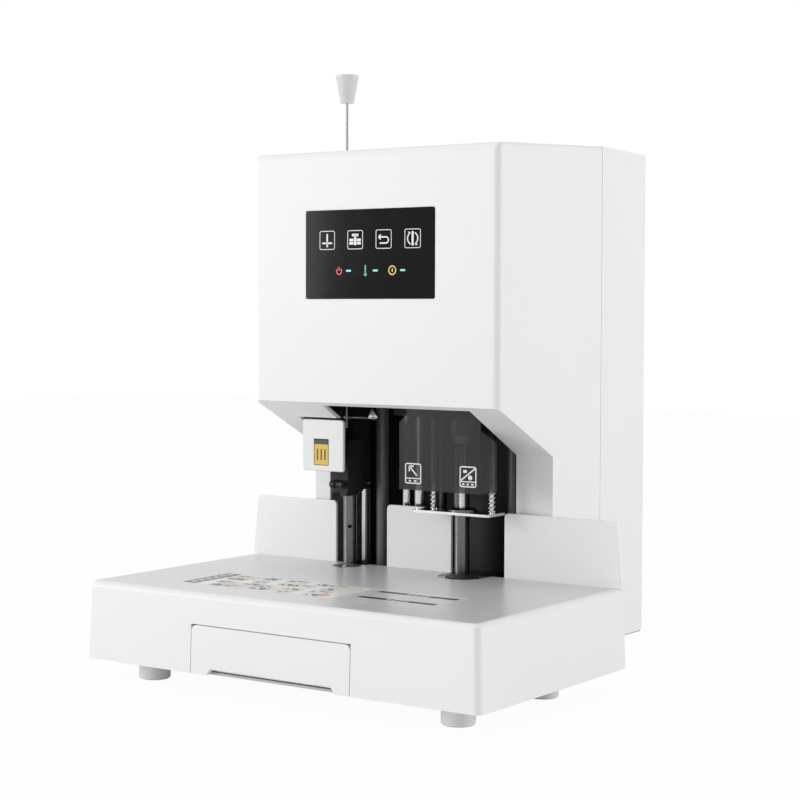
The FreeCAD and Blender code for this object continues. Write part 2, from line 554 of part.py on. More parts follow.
def make_head_housing():
    """Front shell: overhanging head, sloping underside and column, open to the rear and at the mouth."""
    head = piece("head_housing")
    side = sketch_on(head, "YZ_Plane")
    polygon(side, head_outline("0", PAN_TOP, SEAM))
    extrude(head, side, "dim.head_width", midplane=True)
    blend(head, "dim.shell_corner", lambda e: (runs(e, Z) and lies(e, y=HEAD_FRONT))
          or lies(e, x="0", y=HEAD_FRONT, z=HEAD_TOP))
    blend(head, "dim.roof_edge", lambda e: abs(abs(e.CenterOfMass.x) - number(HEAD_HALF)) < SAME
          and number(HEAD_TOP) < e.CenterOfMass.z and e.CenterOfMass.y < number(SEAM) - SAME)
    hollow = sketch_on(head, "YZ_Plane")
    polygon(hollow, head_outline("dim.shell_wall", f"{PAN_TOP} - dim.overrun", f"{SEAM} + dim.overrun"))
    cut(head, hollow, "dim.head_width - 2 * dim.shell_wall", midplane=True)
    mouth = upright(head, f"{COLUMN_FRONT} + dim.shell_wall + dim.overrun")
    floor, low_right = f"{PAN_TOP} - dim.overrun", f"({MOUTH_RIGHT} - dim.mouth_lean)"
    top, step = f"{HEAD_BOTTOM} - dim.mouth_lip", f"{HEAD_BOTTOM} - dim.mouth_step_drop"
    polygon(mouth, [(MOUTH_LEFT, floor), (low_right, floor), (low_right, SLOPE_FOOT), (MOUTH_RIGHT, top),
                    (f"{RIVET[0]} + dim.mouth_past_rivet", top),
                    (f"{RIVET[0]} + dim.mouth_step_past_rivet", step), (MOUTH_NOTCH, step),
                    (MOUTH_NOTCH, SLOPE_FOOT), (MOUTH_LEFT, SLOPE_FOOT)])
    cut(head, mouth, f"{COLUMN_FRONT} + dim.shell_wall + dim.overrun")
    recess = upright(head, HEAD_FRONT)
    centred(recess, "dim.panel_side", PANEL_MIDDLE, "dim.panel_width", "dim.panel_height",
            "dim.seat_gap / 2")
    cut(head, recess, "dim.panel_sink", plus=True)
    bores(head, [(*RIVET, "dim.rod_bush / 2")])


def make_control_panel():
    """Touch panel let into the head's front, and its circuit board on four studs behind the wall."""
    panel = piece("control_panel")
    sketch = upright(panel, f"{HEAD_FRONT} + dim.panel_sink")
    centred(sketch, "dim.panel_side", PANEL_MIDDLE, "dim.panel_width", "dim.panel_height")
    extrude(panel, sketch, "dim.panel_thickness", plus=False)
    blend(panel, "dim.panel_corner", lambda e: runs(e, Y))
    blend(panel, "dim.panel_edge",
          lambda e: lies(e, y=f"{HEAD_FRONT} + dim.panel_sink - dim.panel_thickness"))
    board = piece("control_board")
    depth = f"{HEAD_FRONT} + dim.shell_wall + dim.board_standoff"
    sketch = upright(board, depth)
    centred(sketch, "dim.panel_side", PANEL_MIDDLE, "dim.panel_width", "dim.panel_height",
            "(0 - dim.board_margin)")
    extrude(board, sketch, "dim.board_thickness")
    studs = upright(board, depth)
    across = "(dim.panel_width / 2 - dim.board_margin - dim.stud_inset)"
    rise = "(dim.panel_height / 2 - dim.board_margin - dim.stud_inset)"
    for side in ("-", "+"):
        for level in ("-", "+"):
            circle(studs, f"dim.panel_side {side} {across}", f"{PANEL_MIDDLE} {level} {rise}",
                   "dim.stud_diameter / 2")
    extrude(board, studs, "dim.board_standoff", plus=False)


def make_rear_cover():
    """Rear shell behind the seam, tapered and rounded, with windows for inlet and switch and with vents."""
    cover = piece("rear_cover")
    roof = f"({HEAD_TOP} + dim.roof_rise)"
    side = sketch_on(cover, "YZ_Plane")
    polygon(side, [(COVER_EDGE, PAN_TOP), ("dim.machine_depth", PAN_TOP),
                   ("dim.machine_depth", f"{roof} - dim.rear_fall"), (COVER_EDGE, roof)])
    extrude(cover, side, "dim.head_width", midplane=True)
    wedges = sketch_on(cover, "XY_Plane", f"{PAN_TOP} - dim.overrun")
    past = "dim.machine_depth + dim.overrun"
    for sign in ("-", "+"):
        polygon(wedges, [(f"0 {sign} {HEAD_HALF}", SEAM), (f"0 {sign} ({HEAD_HALF} + dim.overrun)", SEAM),
                         (f"0 {sign} ({HEAD_HALF} + dim.overrun)", past),
                         (f"0 {sign} ({HEAD_HALF} - dim.rear_taper)", past),
                         (f"0 {sign} ({HEAD_HALF} - dim.rear_taper)", "dim.machine_depth")])
    cut(cover, wedges, HEAD_TOP, plus=True)
    blend(cover, "dim.shell_corner", lambda e: lies(e, y="dim.machine_depth") and not lies(e, z=PAN_TOP))
    hollow = upright(cover, f"{SEAM} - dim.overrun")
    inner = f"({HEAD_HALF} - dim.rear_taper - dim.shell_wall)"
    rectangle(hollow, f"-{inner}", inner, f"{PAN_TOP} - dim.overrun",
              f"{roof} - dim.rear_fall - dim.shell_wall")
    cut(cover, hollow, f"dim.machine_depth - {SEAM} + dim.overrun - dim.shell_wall", plus=True)
    windows = upright(cover, "dim.machine_depth")
    centred(windows, "dim.inlet_side", "dim.inlet_level", "dim.inlet_width", "dim.inlet_height",
            "dim.seat_gap")
    centred(windows, "dim.switch_side", "dim.inlet_level", "dim.switch_width", "dim.switch_height",
            "dim.seat_gap")
    cut(cover, windows, "dim.shell_wall + dim.overrun")
    vents = upright(cover, "dim.machine_depth")
    for side_sign in ("-", ""):
        for step in range(int(number("dim.vent_rows"))):
            centred(vents, f"{side_sign}dim.vent_side", f"(dim.vent_height + {step} * dim.vent_pitch)",
                    "dim.vent_length", "dim.vent_width")
    cut(cover, vents, "dim.shell_wall + dim.overrun")


# ---------------------------------------------------------------- inner frame
def standing_seats():
    """Place and radius of every seat for the columns, posts and screws between beam and deck."""
    shafts = [(RIVET_COLUMN, "dim.main_column"), (DRILL_COLUMN, "dim.main_column"),
              (RIVET_ROD, "dim.thin_rod"), (STAY_ROD, "dim.thin_rod"), (DRILL_ROD, "dim.drill_rod"),
              (LEFT_POST, "dim.post_diameter"), (RIGHT_POST, "dim.post_diameter"),
              (RIVET_SCREW, "dim.screw_diameter"), (DRILL_SCREW, "dim.screw_diameter")]
    return [(*spot, running(diameter)) for spot, diameter in shafts]


def make_frame():
    """Back plate, T-shaped beam that reaches under both stations, and the deck above them."""
    rear = f"{PLATE_DEPTH} + dim.plate_thickness"
    plate = slab("frame_backplate", box_corners(f"-{PLATE_HALF}", PLATE_HALF, PLATE_DEPTH, rear),
                 PAN_TOP, f"{HEAD_TOP} - dim.plate_top_gap - {PAN_TOP}")
    blend(plate, "dim.plate_corner", lambda e: runs(e, Y) and lies(e, z=f"{HEAD_TOP} - dim.plate_top_gap"))
    front = f"{DRILL[1]} - dim.drill_tongue + dim.beam_gap"
    shoulder = f"{COLUMN_FRONT} + dim.shell_wall + dim.beam_gap"
    left, right = f"{MOUTH_LEFT} + dim.beam_gap", f"{MOUTH_RIGHT} - dim.mouth_lean - dim.beam_gap"
    beam = slab("lower_beam", [(left, front), (right, front), (right, shoulder), (PLATE_HALF, shoulder),
                               (PLATE_HALF, PLATE_DEPTH), (f"-{PLATE_HALF}", PLATE_DEPTH),
                               (f"-{PLATE_HALF}", shoulder), (left, shoulder)],
                BEAM_BOTTOM, "dim.beam_height")
    bores(beam, standing_seats())
    blend(beam, "dim.beam_corner", lambda e: runs(e, Z) and lies(e, y=front))
    deck = slab("upper_deck", box_corners(f"-{PLATE_HALF}", PLATE_HALF, ARM_FRONT, PLATE_DEPTH),
                DECK_BOTTOM, "dim.deck_thickness")
    bores(deck, standing_seats() + [(*RIVET, "dim.deck_window / 2")])
    blend(deck, "dim.beam_corner", lambda e: runs(e, Z) and lies(e, y=ARM_FRONT))


def standing(name, spots, diameter):
    """Rods of one kind from the beam up to the deck."""
    rods = piece(name)
    rings = sketch_on(rods, "XY_Plane", BEAM_BOTTOM)
    for x, y in spots:
        circle(rings, x, y, f"{diameter} / 2")
    extrude(rods, rings, f"{DECK_TOP} - {BEAM_BOTTOM}")
    return rods


def make_columns():
    """Ground guide columns, thin rods and dark posts."""
    column = standing("rivet_main_column", [RIVET_COLUMN], "dim.main_column")
    hole = upright(column, RIVET_COLUMN[1])
    circle(hole, f"{RIVET_COLUMN[0]} + dim.column_hole_side", f"{TABLE} + dim.column_hole_height",
           "dim.column_hole / 2")
    cut(column, hole, "dim.main_column")
    standing("side_rods", [RIVET_ROD, STAY_ROD], "dim.thin_rod")
    standing("drill_main_column", [DRILL_COLUMN], "dim.main_column")
    standing("drill_side_rod", [DRILL_ROD], "dim.drill_rod")
    standing("frame_posts", [LEFT_POST, RIGHT_POST], "dim.post_diameter")


def make_feed(name, spot):
    """Feed screw between beam and deck with the stepper motor that turns it."""
    rod(f"{name}_feed_screw", *spot, BEAM_BOTTOM, DECK_TOP, "dim.screw_diameter")
    motor = piece(f"{name}_feed_motor", *spot, DECK_TOP)
    plan = sketch_on(motor, "XY_Plane")
    centred(plan, "0", "0", "dim.feed_motor_width", "dim.feed_motor_width")
    extrude(motor, plan, "dim.feed_motor_height")
    blend(motor, "dim.feed_motor_corner", lambda e: runs(e, Z), chamfer=True)


def make_nut(name, spot, top, length):
    """Flanged nut on a feed screw, let into a casting from above."""
    inner, collar = running("dim.screw_diameter"), "dim.screw_diameter / 2 + dim.nut_wall"
    flange = "dim.nut_flange / 2"
    turned(name, [(inner, "dim.nut_flange_height"), (inner, f"-{length}"), (collar, f"-{length}"),
                  (collar, "0"), (flange, "0"), (flange, "dim.nut_flange_height")], *spot, top)


# ---------------------------------------------------------------- riveting station
def make_rivet_slider():
    """Casting that runs on both left columns, with an arm for the hot head and a lug for the nut."""
    slider = piece("rivet_slider")
    right = f"{RIVET_ROD[0]} + dim.thin_rod / 2 + dim.slider_wall"
    rear = f"{RIVET_ROD[1]} + dim.thin_rod / 2 + dim.slider_wall"
    block_front = f"({RIVET[1]} + dim.block_back)"
    block = sketch_on(slider, "XY_Plane", SLIDER_BOTTOM)
    rectangle(block, SLIDER_LEFT, right, block_front, rear)
    extrude(slider, block, "dim.slider_height")
    arm = sketch_on(slider, "XY_Plane", SLIDER_BOTTOM)
    rectangle(arm, ARM_LEFT, ARM_RIGHT, ARM_FRONT, f"{block_front} + dim.overrun")
    extrude(slider, arm, "dim.arm_height")
    lug = sketch_on(slider, "XY_Plane", f"{SLIDER_TOP} - dim.nut_lug_height")
    rectangle(lug, SLIDER_LEFT, right, f"{rear} - dim.overrun", f"{RIVET_SCREW[1]} + dim.nut_flange / 2")
    extrude(slider, lug, "dim.nut_lug_height")
    blend(slider, "dim.thin_rod / 2 + dim.slider_wall", lambda e: runs(e, Z) and lies(e, x=right, y=rear))
    ear = sketch_on(slider, "YZ_Plane", RIVET[0])
    root, nose = f"{ARM_FRONT} + dim.overrun", f"{KNOB_DEPTH} - dim.ear_nose / 2"
    wall = "(dim.knob_pin / 2 + dim.ear_wall)"
    polygon(ear, [(root, f"{KNOB_HEIGHT} - dim.knob_diameter / 2"),
                  (root, f"{KNOB_HEIGHT} + dim.knob_diameter / 2"), (nose, f"{KNOB_HEIGHT} + {wall}"),
                  (f"{KNOB_DEPTH} - dim.ear_nose", KNOB_HEIGHT), (nose, f"{KNOB_HEIGHT} - {wall}")])
    extrude(slider, ear, "dim.ear_width", midplane=True)
    lip = sketch_on(slider, "XY_Plane", f"{SLIDER_BOTTOM} - dim.lip_height")
    lip_right, lip_front = f"({ARM_RIGHT} - dim.lip_inset)", f"({ARM_FRONT} - dim.lip_reach)"
    rectangle(lip, f"{lip_right} - dim.lip_width", lip_right, lip_front, f"{lip_front} + dim.lip_length")
    extrude(slider, lip, "dim.lip_height + dim.overrun")
    cheek = sketch_on(slider, "XY_Plane", f"{ARM_TOP} - dim.overrun")
    rectangle(cheek, ARM_LEFT, f"{ARM_LEFT} + dim.latch_wall",
              f"{RIVET[1]} + dim.latch_back - dim.latch_land", f"{block_front} + dim.overrun")
    extrude(slider, cheek, "dim.latch_lift + dim.latch_land + dim.overrun")
    bores(slider, [(*RIVET_COLUMN, running("dim.main_column")), (*RIVET_ROD, running("dim.thin_rod")),
                   (*RIVET_SCREW, "dim.screw_diameter / 2 + dim.nut_wall + dim.run_gap")])
    bores(slider, [(*RIVET, running("dim.hot_head"))])
    pin = sketch_on(slider, "YZ_Plane", RIVET[0])
    circle(pin, KNOB_DEPTH, KNOB_HEIGHT, running("dim.knob_pin"))
    cut(slider, pin, "dim.ear_width + dim.overrun", midplane=True)
    latch = sketch_on(slider, "YZ_Plane", f"{ARM_LEFT} - dim.overrun")
    circle(latch, f"{RIVET[1]} + dim.latch_back", f"{ARM_TOP} + dim.latch_lift", running("dim.latch_pin"))
    cut(slider, latch, "dim.latch_wall + 2 * dim.overrun", plus=True)
    make_nut("rivet_nut", RIVET_SCREW, SLIDER_TOP, "dim.nut_lug_height")


def make_hot_head():
    """Upper hot head: a brass sleeve with a tapered tip and a passage for the tube."""
    passage = "dim.rod_diameter / 2 + dim.tube_gap"
    turned("upper_rivet_head", [(passage, HOT_TIP), ("dim.hot_tip / 2", HOT_TIP),
                                ("dim.hot_head / 2", f"{HOT_TIP} + dim.hot_taper"),
                                ("dim.hot_head / 2", ARM_TOP), (passage, ARM_TOP)], *RIVET)


def make_clamp_knob():
    """Roller-shaped knob either side of the ear on the arm's front."""
    knob = piece("clamp_knob", RIVET[0], KNOB_DEPTH, KNOB_HEIGHT)
    section = sketch_on(knob, "XY_Plane")
    end, barrel, pin = "dim.knob_length / 2", "dim.knob_diameter / 2", "dim.knob_pin / 2"
    waist = "(dim.ear_width / 2 + dim.seat_gap)"
    polygon(section, [(f"-{end}", "0"), (f"-{end}", barrel), (f"-{waist}", barrel), (f"-{waist}", pin),
                      (waist, pin), (waist, barrel), (end, barrel), (end, "0")])
    spin(knob, section, "H_Axis")
    blend(knob, "dim.knob_edge", lambda e: abs(abs(e.CenterOfMass.x) - number(end)) < SAME, chamfer=True)


def make_tube_latch():
    """Cross pin in the slider's cheek, with a round nut at one end and a small lever at the other."""
    latch = piece("tube_latch", RIVET[0], f"{RIVET[1]} + dim.latch_back", f"{ARM_TOP} + dim.latch_lift")
    section = sketch_on(latch, "XY_Plane")
    start = "-dim.arm_width / 2"
    seat, pin, nut = f"{start} + dim.latch_wall", "dim.latch_pin / 2", "dim.latch_nut / 2"
    cap, end = "dim.latch_cap / 2", "dim.latch_length + dim.latch_cap_width"
    polygon(section, [(start, "0"), (start, pin), (seat, pin), (seat, nut),
                      (f"{seat} + dim.latch_nut_width", nut), (f"{seat} + dim.latch_nut_width", pin),
                      ("dim.latch_length", pin), ("dim.latch_length", cap), (end, cap), (end, "0")])
    spin(latch, section, "H_Axis")
    lever = upright(latch)
    root, tip = "dim.latch_length + dim.latch_cap_width / 2", "dim.latch_length + dim.lever_reach"
    polygon(lever, [("dim.latch_length - dim.latch_cap", "0 - dim.lever_drop / 2"),
                    (root, "0 - dim.lever_drop"), (tip, "dim.lever_drop"),
                    ("dim.latch_length", "dim.lever_rise")])
    extrude(latch, lever, "dim.lever_thickness", midplane=True)


def make_rivet_cover():
    """Thin cover in front of the heater block that warms the head."""
    cover = piece("rivet_cover", f"{RIVET[0]} + dim.cover_across", COVER_FRONT, COVER_BOTTOM)
    half = "(dim.cover_width / 2)"
    front = upright(cover)
    rectangle(front, f"-{half}", half, "0", "dim.cover_height")
    extrude(cover, front, "dim.cover_depth")
    blend(cover, "dim.cover_corner", lambda e: runs(e, Y))
    blend(cover, "dim.cover_edge", lambda e: lies(e, y="0"))
    hollow = upright(cover, "dim.cover_depth")
    rectangle(hollow, f"-{half} + dim.cover_wall", f"{half} - dim.cover_wall", "dim.cover_wall",
              "dim.cover_height - dim.cover_wall")
    cut(cover, hollow, "dim.cover_depth - dim.cover_wall")
    foot = f"({COVER_BOTTOM} + dim.cover_wall + dim.heater_lift)"
    heater = piece("rivet_heater", RIVET[0], f"{COVER_FRONT} + dim.cover_wall", foot)
    plan = sketch_on(heater, "XY_Plane")
    rectangle(plan, "-dim.arm_width / 2", "dim.arm_width / 2 - dim.heater_inset", "dim.seat_gap",
              "dim.cover_reach - dim.arm_reach - dim.cover_wall")
    extrude(heater, plan, f"{ARM_TOP} - {foot}")


def make_push_rod():
    """Rod that pushes the plastic tube down, its tapered knob, and the bush in the sloping roof."""
    low, high = f"({HEAD_TOP} + dim.rod_rise)", f"({HEAD_TOP} + dim.rod_rise + dim.rod_knob_height)"
    rod("push_rod", *RIVET, f"{ARM_TOP} + dim.rod_gap", f"{low} + dim.rod_grip", "dim.rod_diameter")
    small, large = "dim.rod_knob_small / 2", "dim.rod_knob_large / 2"
    bore = running("dim.rod_diameter")
    turned("push_rod_knob", [(bore, low), (small, low), (large, f"{high} - dim.rod_knob_rim"),
                             (large, f"{high} - dim.rod_knob_edge"), (f"{large} - dim.rod_knob_edge", high),
                             ("0", high), ("0", f"{low} + dim.rod_grip"), (bore, f"{low} + dim.rod_grip")],
           *RIVET)
    rise = "(dim.head_overhang - dim.rivet_setback) / (dim.seam_back + dim.head_overhang) * dim.roof_rise"
    roof = f"({HEAD_TOP} + {rise})"
    shank, flange = "dim.rod_bush / 2 - dim.run_gap", "dim.rod_bush / 2 + dim.bush_rim"
    foot, seat = f"{roof} - dim.shell_wall - dim.bush_depth", f"{roof} + dim.bush_lift"
    top = f"{seat} + dim.bush_height"
    turned("push_rod_bush", [(bore, foot), (shank, foot), (shank, seat), (flange, seat), (flange, top),
                             (bore, top)], *RIVET)


def make_seats():
    """Tongue-shaped seats let into the table: one for the lower hot head and one for the cutting pad."""
    top = f"({TABLE} - dim.seat_drop)"
    for name, station, radius in (("rivet_anvil", RIVET, "dim.rivet_tongue"),
                                  ("drill_pad_seat", DRILL, "dim.drill_tongue")):
        seat = piece(name)
        plan = sketch_on(seat, "XY_Plane", BEAM_TOP)
        tongue(plan, *station, radius, FENCE_DEPTH)
        extrude(seat, plan, f"{top} - {BEAM_TOP}")
        well = sketch_on(seat, "XY_Plane", top)
        if name == "rivet_anvil":
            circle(well, *station, running("dim.hot_head"))
            cut(seat, well)
        else:
            circle(well, *station, running("dim.pad_diameter"))
            cut(seat, well, "dim.pad_thickness - dim.seat_drop")
    hot, tip, peak = "dim.hot_head / 2", "dim.hot_tip / 2", f"{TABLE} + dim.seat_drop"
    turned("lower_rivet_head", [("0", BEAM_TOP), (hot, BEAM_TOP), (hot, f"{TABLE} - dim.seat_drop / 2"),
                                (tip, peak), (f"{tip} / 2", peak), ("0", f"{TABLE} + dim.run_gap")], *RIVET)
    pad = f"{TABLE} - dim.pad_thickness"
    turned("cutting_pad", [("0", pad), ("dim.pad_diameter / 2", pad), ("dim.pad_diameter / 2", TABLE),
                           ("0", TABLE)], *DRILL)


# ---------------------------------------------------------------- drilling station
def press_post_spots():
    """Centres of the two press posts either side of the spindle."""
    return [(f"{DRILL[0]} {sign} dim.post_spacing / 2", DRILL[1]) for sign in ("-", "+")]


def make_drill_carriage():
    """Cast carriage: a lower block, the spindle's tower and the plate that carries the motor."""
    carriage = piece("drill_carriage")
    front = f"({DRILL[1]} - dim.carriage_reach)"
    reach = "(dim.post_spacing / 2 + dim.press_post / 2 + dim.carriage_wall)"
    left = f"{DRILL_ROD[0]} - dim.drill_rod / 2 - dim.carriage_wall"
    right, shoulder = f"{DRILL[0]} + {reach}", f"{DRILL[0]} - {reach}"
    rear = f"{DRILL_COLUMN[1]} + dim.main_column / 2 + dim.carriage_wall"
    nut_rear = f"{DRILL_SCREW[1]} + dim.nut_flange / 2 + dim.nut_land"
    nut_right = f"{DRILL_SCREW[0]} + dim.nut_flange / 2 + dim.nut_land"
    plan = sketch_on(carriage, "XY_Plane", CARRIAGE_BOTTOM)
    polygon(plan, [(left, f"{front} + dim.carriage_step"), (shoulder, front), (right, front), (right, rear),
                   (nut_right, rear), (nut_right, nut_rear), (left, nut_rear)])
    extrude(carriage, plan, "dim.carriage_height")
    tower = sketch_on(carriage, "XY_Plane", CARRIAGE_BOTTOM)
    circle(tower, *DRILL, "dim.housing_diameter / 2")
    extrude(carriage, tower, f"{MOTOR_PLATE_TOP} - {CARRIAGE_BOTTOM}")
    top = sketch_on(carriage, "XY_Plane", MOTOR_PLATE)
    rectangle(top, f"{DRILL_COLUMN[0]} - dim.main_column / 2 - dim.carriage_wall",
              f"{MOTOR[0]} + dim.motor_plate_margin", f"{front} - dim.motor_plate_overhang",
              f"{MOTOR[1]} + dim.motor_plate_margin")
    extrude(carriage, top, "dim.motor_plate_thickness")
    blend(carriage, "dim.carriage_corner", lambda e: runs(e, Z) and (lies(e, x=right) or lies(e, x=left)))
    bores(carriage, [(*DRILL_COLUMN, running("dim.main_column")), (*DRILL_ROD, running("dim.drill_rod")),
                     (*DRILL_SCREW, "dim.screw_diameter / 2 + dim.nut_wall + dim.run_gap")])
    bores(carriage, [(*DRILL, running("dim.bearing_outer"))])
    bores(carriage, [(*MOTOR, "dim.motor_pilot / 2 + dim.seat_gap")])
    bores(carriage, [(*spot, running("dim.press_post")) for spot in press_post_spots()])
    make_nut("drill_nut", DRILL_SCREW, CARRIAGE_TOP, "dim.carriage_height")


def make_spindle():
    """Hollow spindle in two bearings, with its chuck and the hollow drill that cuts the paper."""
    bearings = piece("spindle_bearings", *DRILL)
    section = upright(bearings)
    inner, outer = running("dim.shaft_diameter"), "dim.bearing_outer / 2"
    for low in (f"({CARRIAGE_BOTTOM} + dim.bearing_inset)",
                f"({MOTOR_PLATE_TOP} - dim.bearing_inset - dim.bearing_height)"):
        rectangle(section, inner, outer, low, f"{low} + dim.bearing_height")
    spin(bearings, section)
    chuck_top = f"({CARRIAGE_BOTTOM} - dim.chuck_gap)"
    chuck_foot = f"({chuck_top} - dim.chuck_height)"
    rod("drill_spindle", *DRILL, chuck_top, f"{PULLEY_TOP} + dim.shaft_end", "dim.shaft_diameter",
        "dim.drill_bore")
    hole, barrel = "dim.drill_diameter / 2", "dim.chuck_diameter / 2"
    turned("drill_chuck", [(hole, chuck_foot), ("dim.chuck_nose / 2", chuck_foot),
                           (barrel, f"{chuck_foot} + dim.chuck_taper"), (barrel, chuck_top),
                           (hole, chuck_top)], *DRILL)
    tip = f"({PRESS_BOTTOM} - dim.drill_proud)"
    turned("hollow_drill", [("dim.drill_bore / 2", f"{tip} + dim.drill_bevel"), (hole, tip),
                            (hole, chuck_top), ("dim.drill_bore / 2", chuck_top)], *DRILL)


def make_pulleys():
    """Flanged belt pulleys on the spindle and on the motor's shaft."""
    for name, spot, groove, shaft in (("spindle_pulley", DRILL, "dim.spindle_pulley", "dim.shaft_diameter"),
                                      ("motor_pulley", MOTOR, "dim.motor_pulley", "dim.motor_shaft")):
        bore, seat, rim = f"{shaft} / 2", f"{groove} / 2", f"{groove} / 2 + dim.pulley_lip"
        lower, upper = f"{PULLEY_FOOT} + dim.pulley_flange", f"{PULLEY_TOP} - dim.pulley_flange"
        turned(name, [(bore, PULLEY_FOOT), (rim, PULLEY_FOOT), (rim, lower), (seat, lower), (seat, upper),
                      (rim, upper), (rim, PULLEY_TOP), (bore, PULLEY_TOP)], *spot)


def belt_loop(sketch, clearance):
    """Closed loop round both pulleys, a clearance outside their grooves, tangent at its four joints."""
    near = FreeCAD.Vector(number(DRILL[0]), number(DRILL[1]), 0)
    far = FreeCAD.Vector(number(MOTOR[0]), number(MOTOR[1]), 0)
    big = number(f"dim.spindle_pulley / 2 + {clearance}")
    small = number(f"dim.motor_pulley / 2 + {clearance}")
    along = (far - near).normalize()
    lean = math.asin((big - small) / (far - near).Length)
    heading = math.atan2(along.y, along.x)
    left, right = heading + math.pi / 2 - lean, heading - math.pi / 2 + lean

    def spot(centre, radius, angle):
        return centre + FreeCAD.Vector(math.cos(angle), math.sin(angle), 0) * radius

    start = sketch.GeometryCount
    sketch.addGeometry(Part.ArcOfCircle(Part.Circle(near, Z, big), left, right + 2 * math.pi))
    sketch.addGeometry(Part.LineSegment(spot(near, big, right), spot(far, small, right)))
    sketch.addGeometry(Part.ArcOfCircle(Part.Circle(far, Z, small), right, left))
    sketch.addGeometry(Part.LineSegment(spot(far, small, left), spot(near, big, left)))
    for i in range(4):
        sketch.addConstraint(Sketcher.Constraint("Tangent", start + i, 2, start + (i + 1) % 4, 1))
    fix_point(sketch, start, 3, *DRILL)
    fix_point(sketch, start + 2, 3, *MOTOR)
    for arc, pulley in ((start, "dim.spindle_pulley"), (start + 2, "dim.motor_pulley")):
        radius = f"{pulley} / 2 + {clearance}"
        index = sketch.addConstraint(Sketcher.Constraint("Radius", arc, number(radius)))
        sketch.setExpression(f"Constraints[{index}]", radius)


def make_drive_belt():
    """Belt between the pulleys' flanges."""
    belt = piece("drive_belt")
    loops = sketch_on(belt, "XY_Plane", f"{PULLEY_FOOT} + dim.pulley_flange + dim.seat_gap")
    belt_loop(loops, "dim.run_gap")
    belt_loop(loops, "dim.belt_thickness")
    extrude(belt, loops, "dim.pulley_height - 2 * (dim.pulley_flange + dim.seat_gap)")


def make_drill_motor():
    """Round motor hung under its plate, with a pilot boss, and its shaft up to the pulley."""
    radius, pilot = "dim.motor_diameter / 2", "dim.motor_pilot / 2"
    foot, top = f"({MOTOR_PLATE} - dim.motor_length)", f"({MOTOR_PLATE} + dim.pilot_height)"
    turned("drill_motor", [("0", foot), (f"{radius} - dim.motor_edge", foot),
                           (radius, f"{foot} + dim.motor_edge"), (radius, MOTOR_PLATE),
                           (pilot, MOTOR_PLATE), (pilot, top), ("0", top)], *MOTOR)
    rod("motor_shaft", *MOTOR, top, PULLEY_TOP, "dim.motor_shaft")


def make_press():
    """Press plate that holds the stack down: collar round the drill, two posts and two springs."""
    front, rear = f"({DRILL[1]} - dim.press_reach)", f"({FENCE_DEPTH} - dim.press_fence_gap)"
    plate = slab("press_plate", box_corners(f"{DRILL[0]} - dim.press_left", f"{DRILL[0]} + dim.press_right",
                                            front, rear), PRESS_BOTTOM, "dim.press_thickness")
    bores(plate, [(*DRILL, "dim.collar_bore / 2")])
    blend(plate, "dim.press_corner", lambda e: runs(e, Z) and lies(e, y=front))
    bore, brim, neck = "dim.collar_bore / 2", "dim.collar_diameter / 2", "dim.collar_neck / 2"
    turned("guide_collar", [(bore, PRESS_TOP), (brim, PRESS_TOP), (brim, f"{PRESS_TOP} + dim.collar_rim"),
                            (neck, f"{PRESS_TOP} + dim.collar_height"),
                            (bore, f"{PRESS_TOP} + dim.collar_height")], *DRILL)
    posts = piece("press_posts")
    head_foot = f"({CARRIAGE_TOP} + dim.seat_gap)"
    shanks = sketch_on(posts, "XY_Plane", PRESS_TOP)
    heads = sketch_on(posts, "XY_Plane", head_foot)
    springs = piece("press_springs")
    rings = sketch_on(springs, "XY_Plane", PRESS_TOP)
    for x, y in press_post_spots():
        circle(shanks, x, y, "dim.press_post / 2")
        circle(heads, x, y, "dim.post_head / 2")
        circle(rings, x, y, "dim.spring_diameter / 2")
        circle(rings, x, y, "dim.spring_diameter / 2 - dim.spring_wire")
    extrude(posts, shanks, f"{head_foot} + dim.overrun - {PRESS_TOP}")
    extrude(posts, heads, "dim.post_head_height")
    extrude(springs, rings, "dim.spring_length")


def make_drill_guard():
    """Smoked hood: a front sheet with two side wings, the right one deeper, on a flange in the head."""
    guard = piece("drill_guard")
    left, right = f"({DRILL[0]} - dim.guard_left)", f"({DRILL[0]} + dim.guard_right)"
    front = f"({DRILL[1]} - dim.guard_reach)"
    top = f"({HEAD_BOTTOM} - dim.guard_drop)"
    bottom, flange = f"({top} - dim.guard_height)", f"({top} + dim.guard_neck)"
    neck = f"({left} + dim.guard_corner)"
    sheet_sketch = upright(guard, front)
    polygon(sheet_sketch, [(left, bottom), (right, bottom), (right, flange), (neck, flange), (neck, top),
                           (left, f"{top} - dim.guard_corner")])
    extrude(guard, sheet_sketch, "dim.guard_thickness")
    wings = sketch_on(guard, "XY_Plane", bottom)
    rear = f"{DRILL[1]} - dim.carriage_reach - dim.guard_gap"
    rectangle(wings, left, f"{left} + dim.guard_thickness", front, rear)
    rectangle(wings, f"{right} - dim.guard_thickness", right, front, f"{rear} + dim.guard_return")
    extrude(guard, wings, f"{top} - dim.guard_corner - {bottom}")
    hanger = sketch_on(guard, "YZ_Plane", neck)
    inside, back = f"({HEAD_FRONT} + dim.shell_wall)", f"{front} + dim.guard_thickness"
    polygon(hanger, [(inside, flange), (back, flange), (back, f"{flange} + dim.guard_thickness"),
                     (f"{inside} + dim.guard_thickness", f"{flange} + dim.guard_thickness"),
                     (f"{inside} + dim.guard_thickness", f"{flange} + dim.guard_neck"),
                     (inside, f"{flange} + dim.guard_neck")])
    extrude(guard, hanger, f"{right} - {neck}")


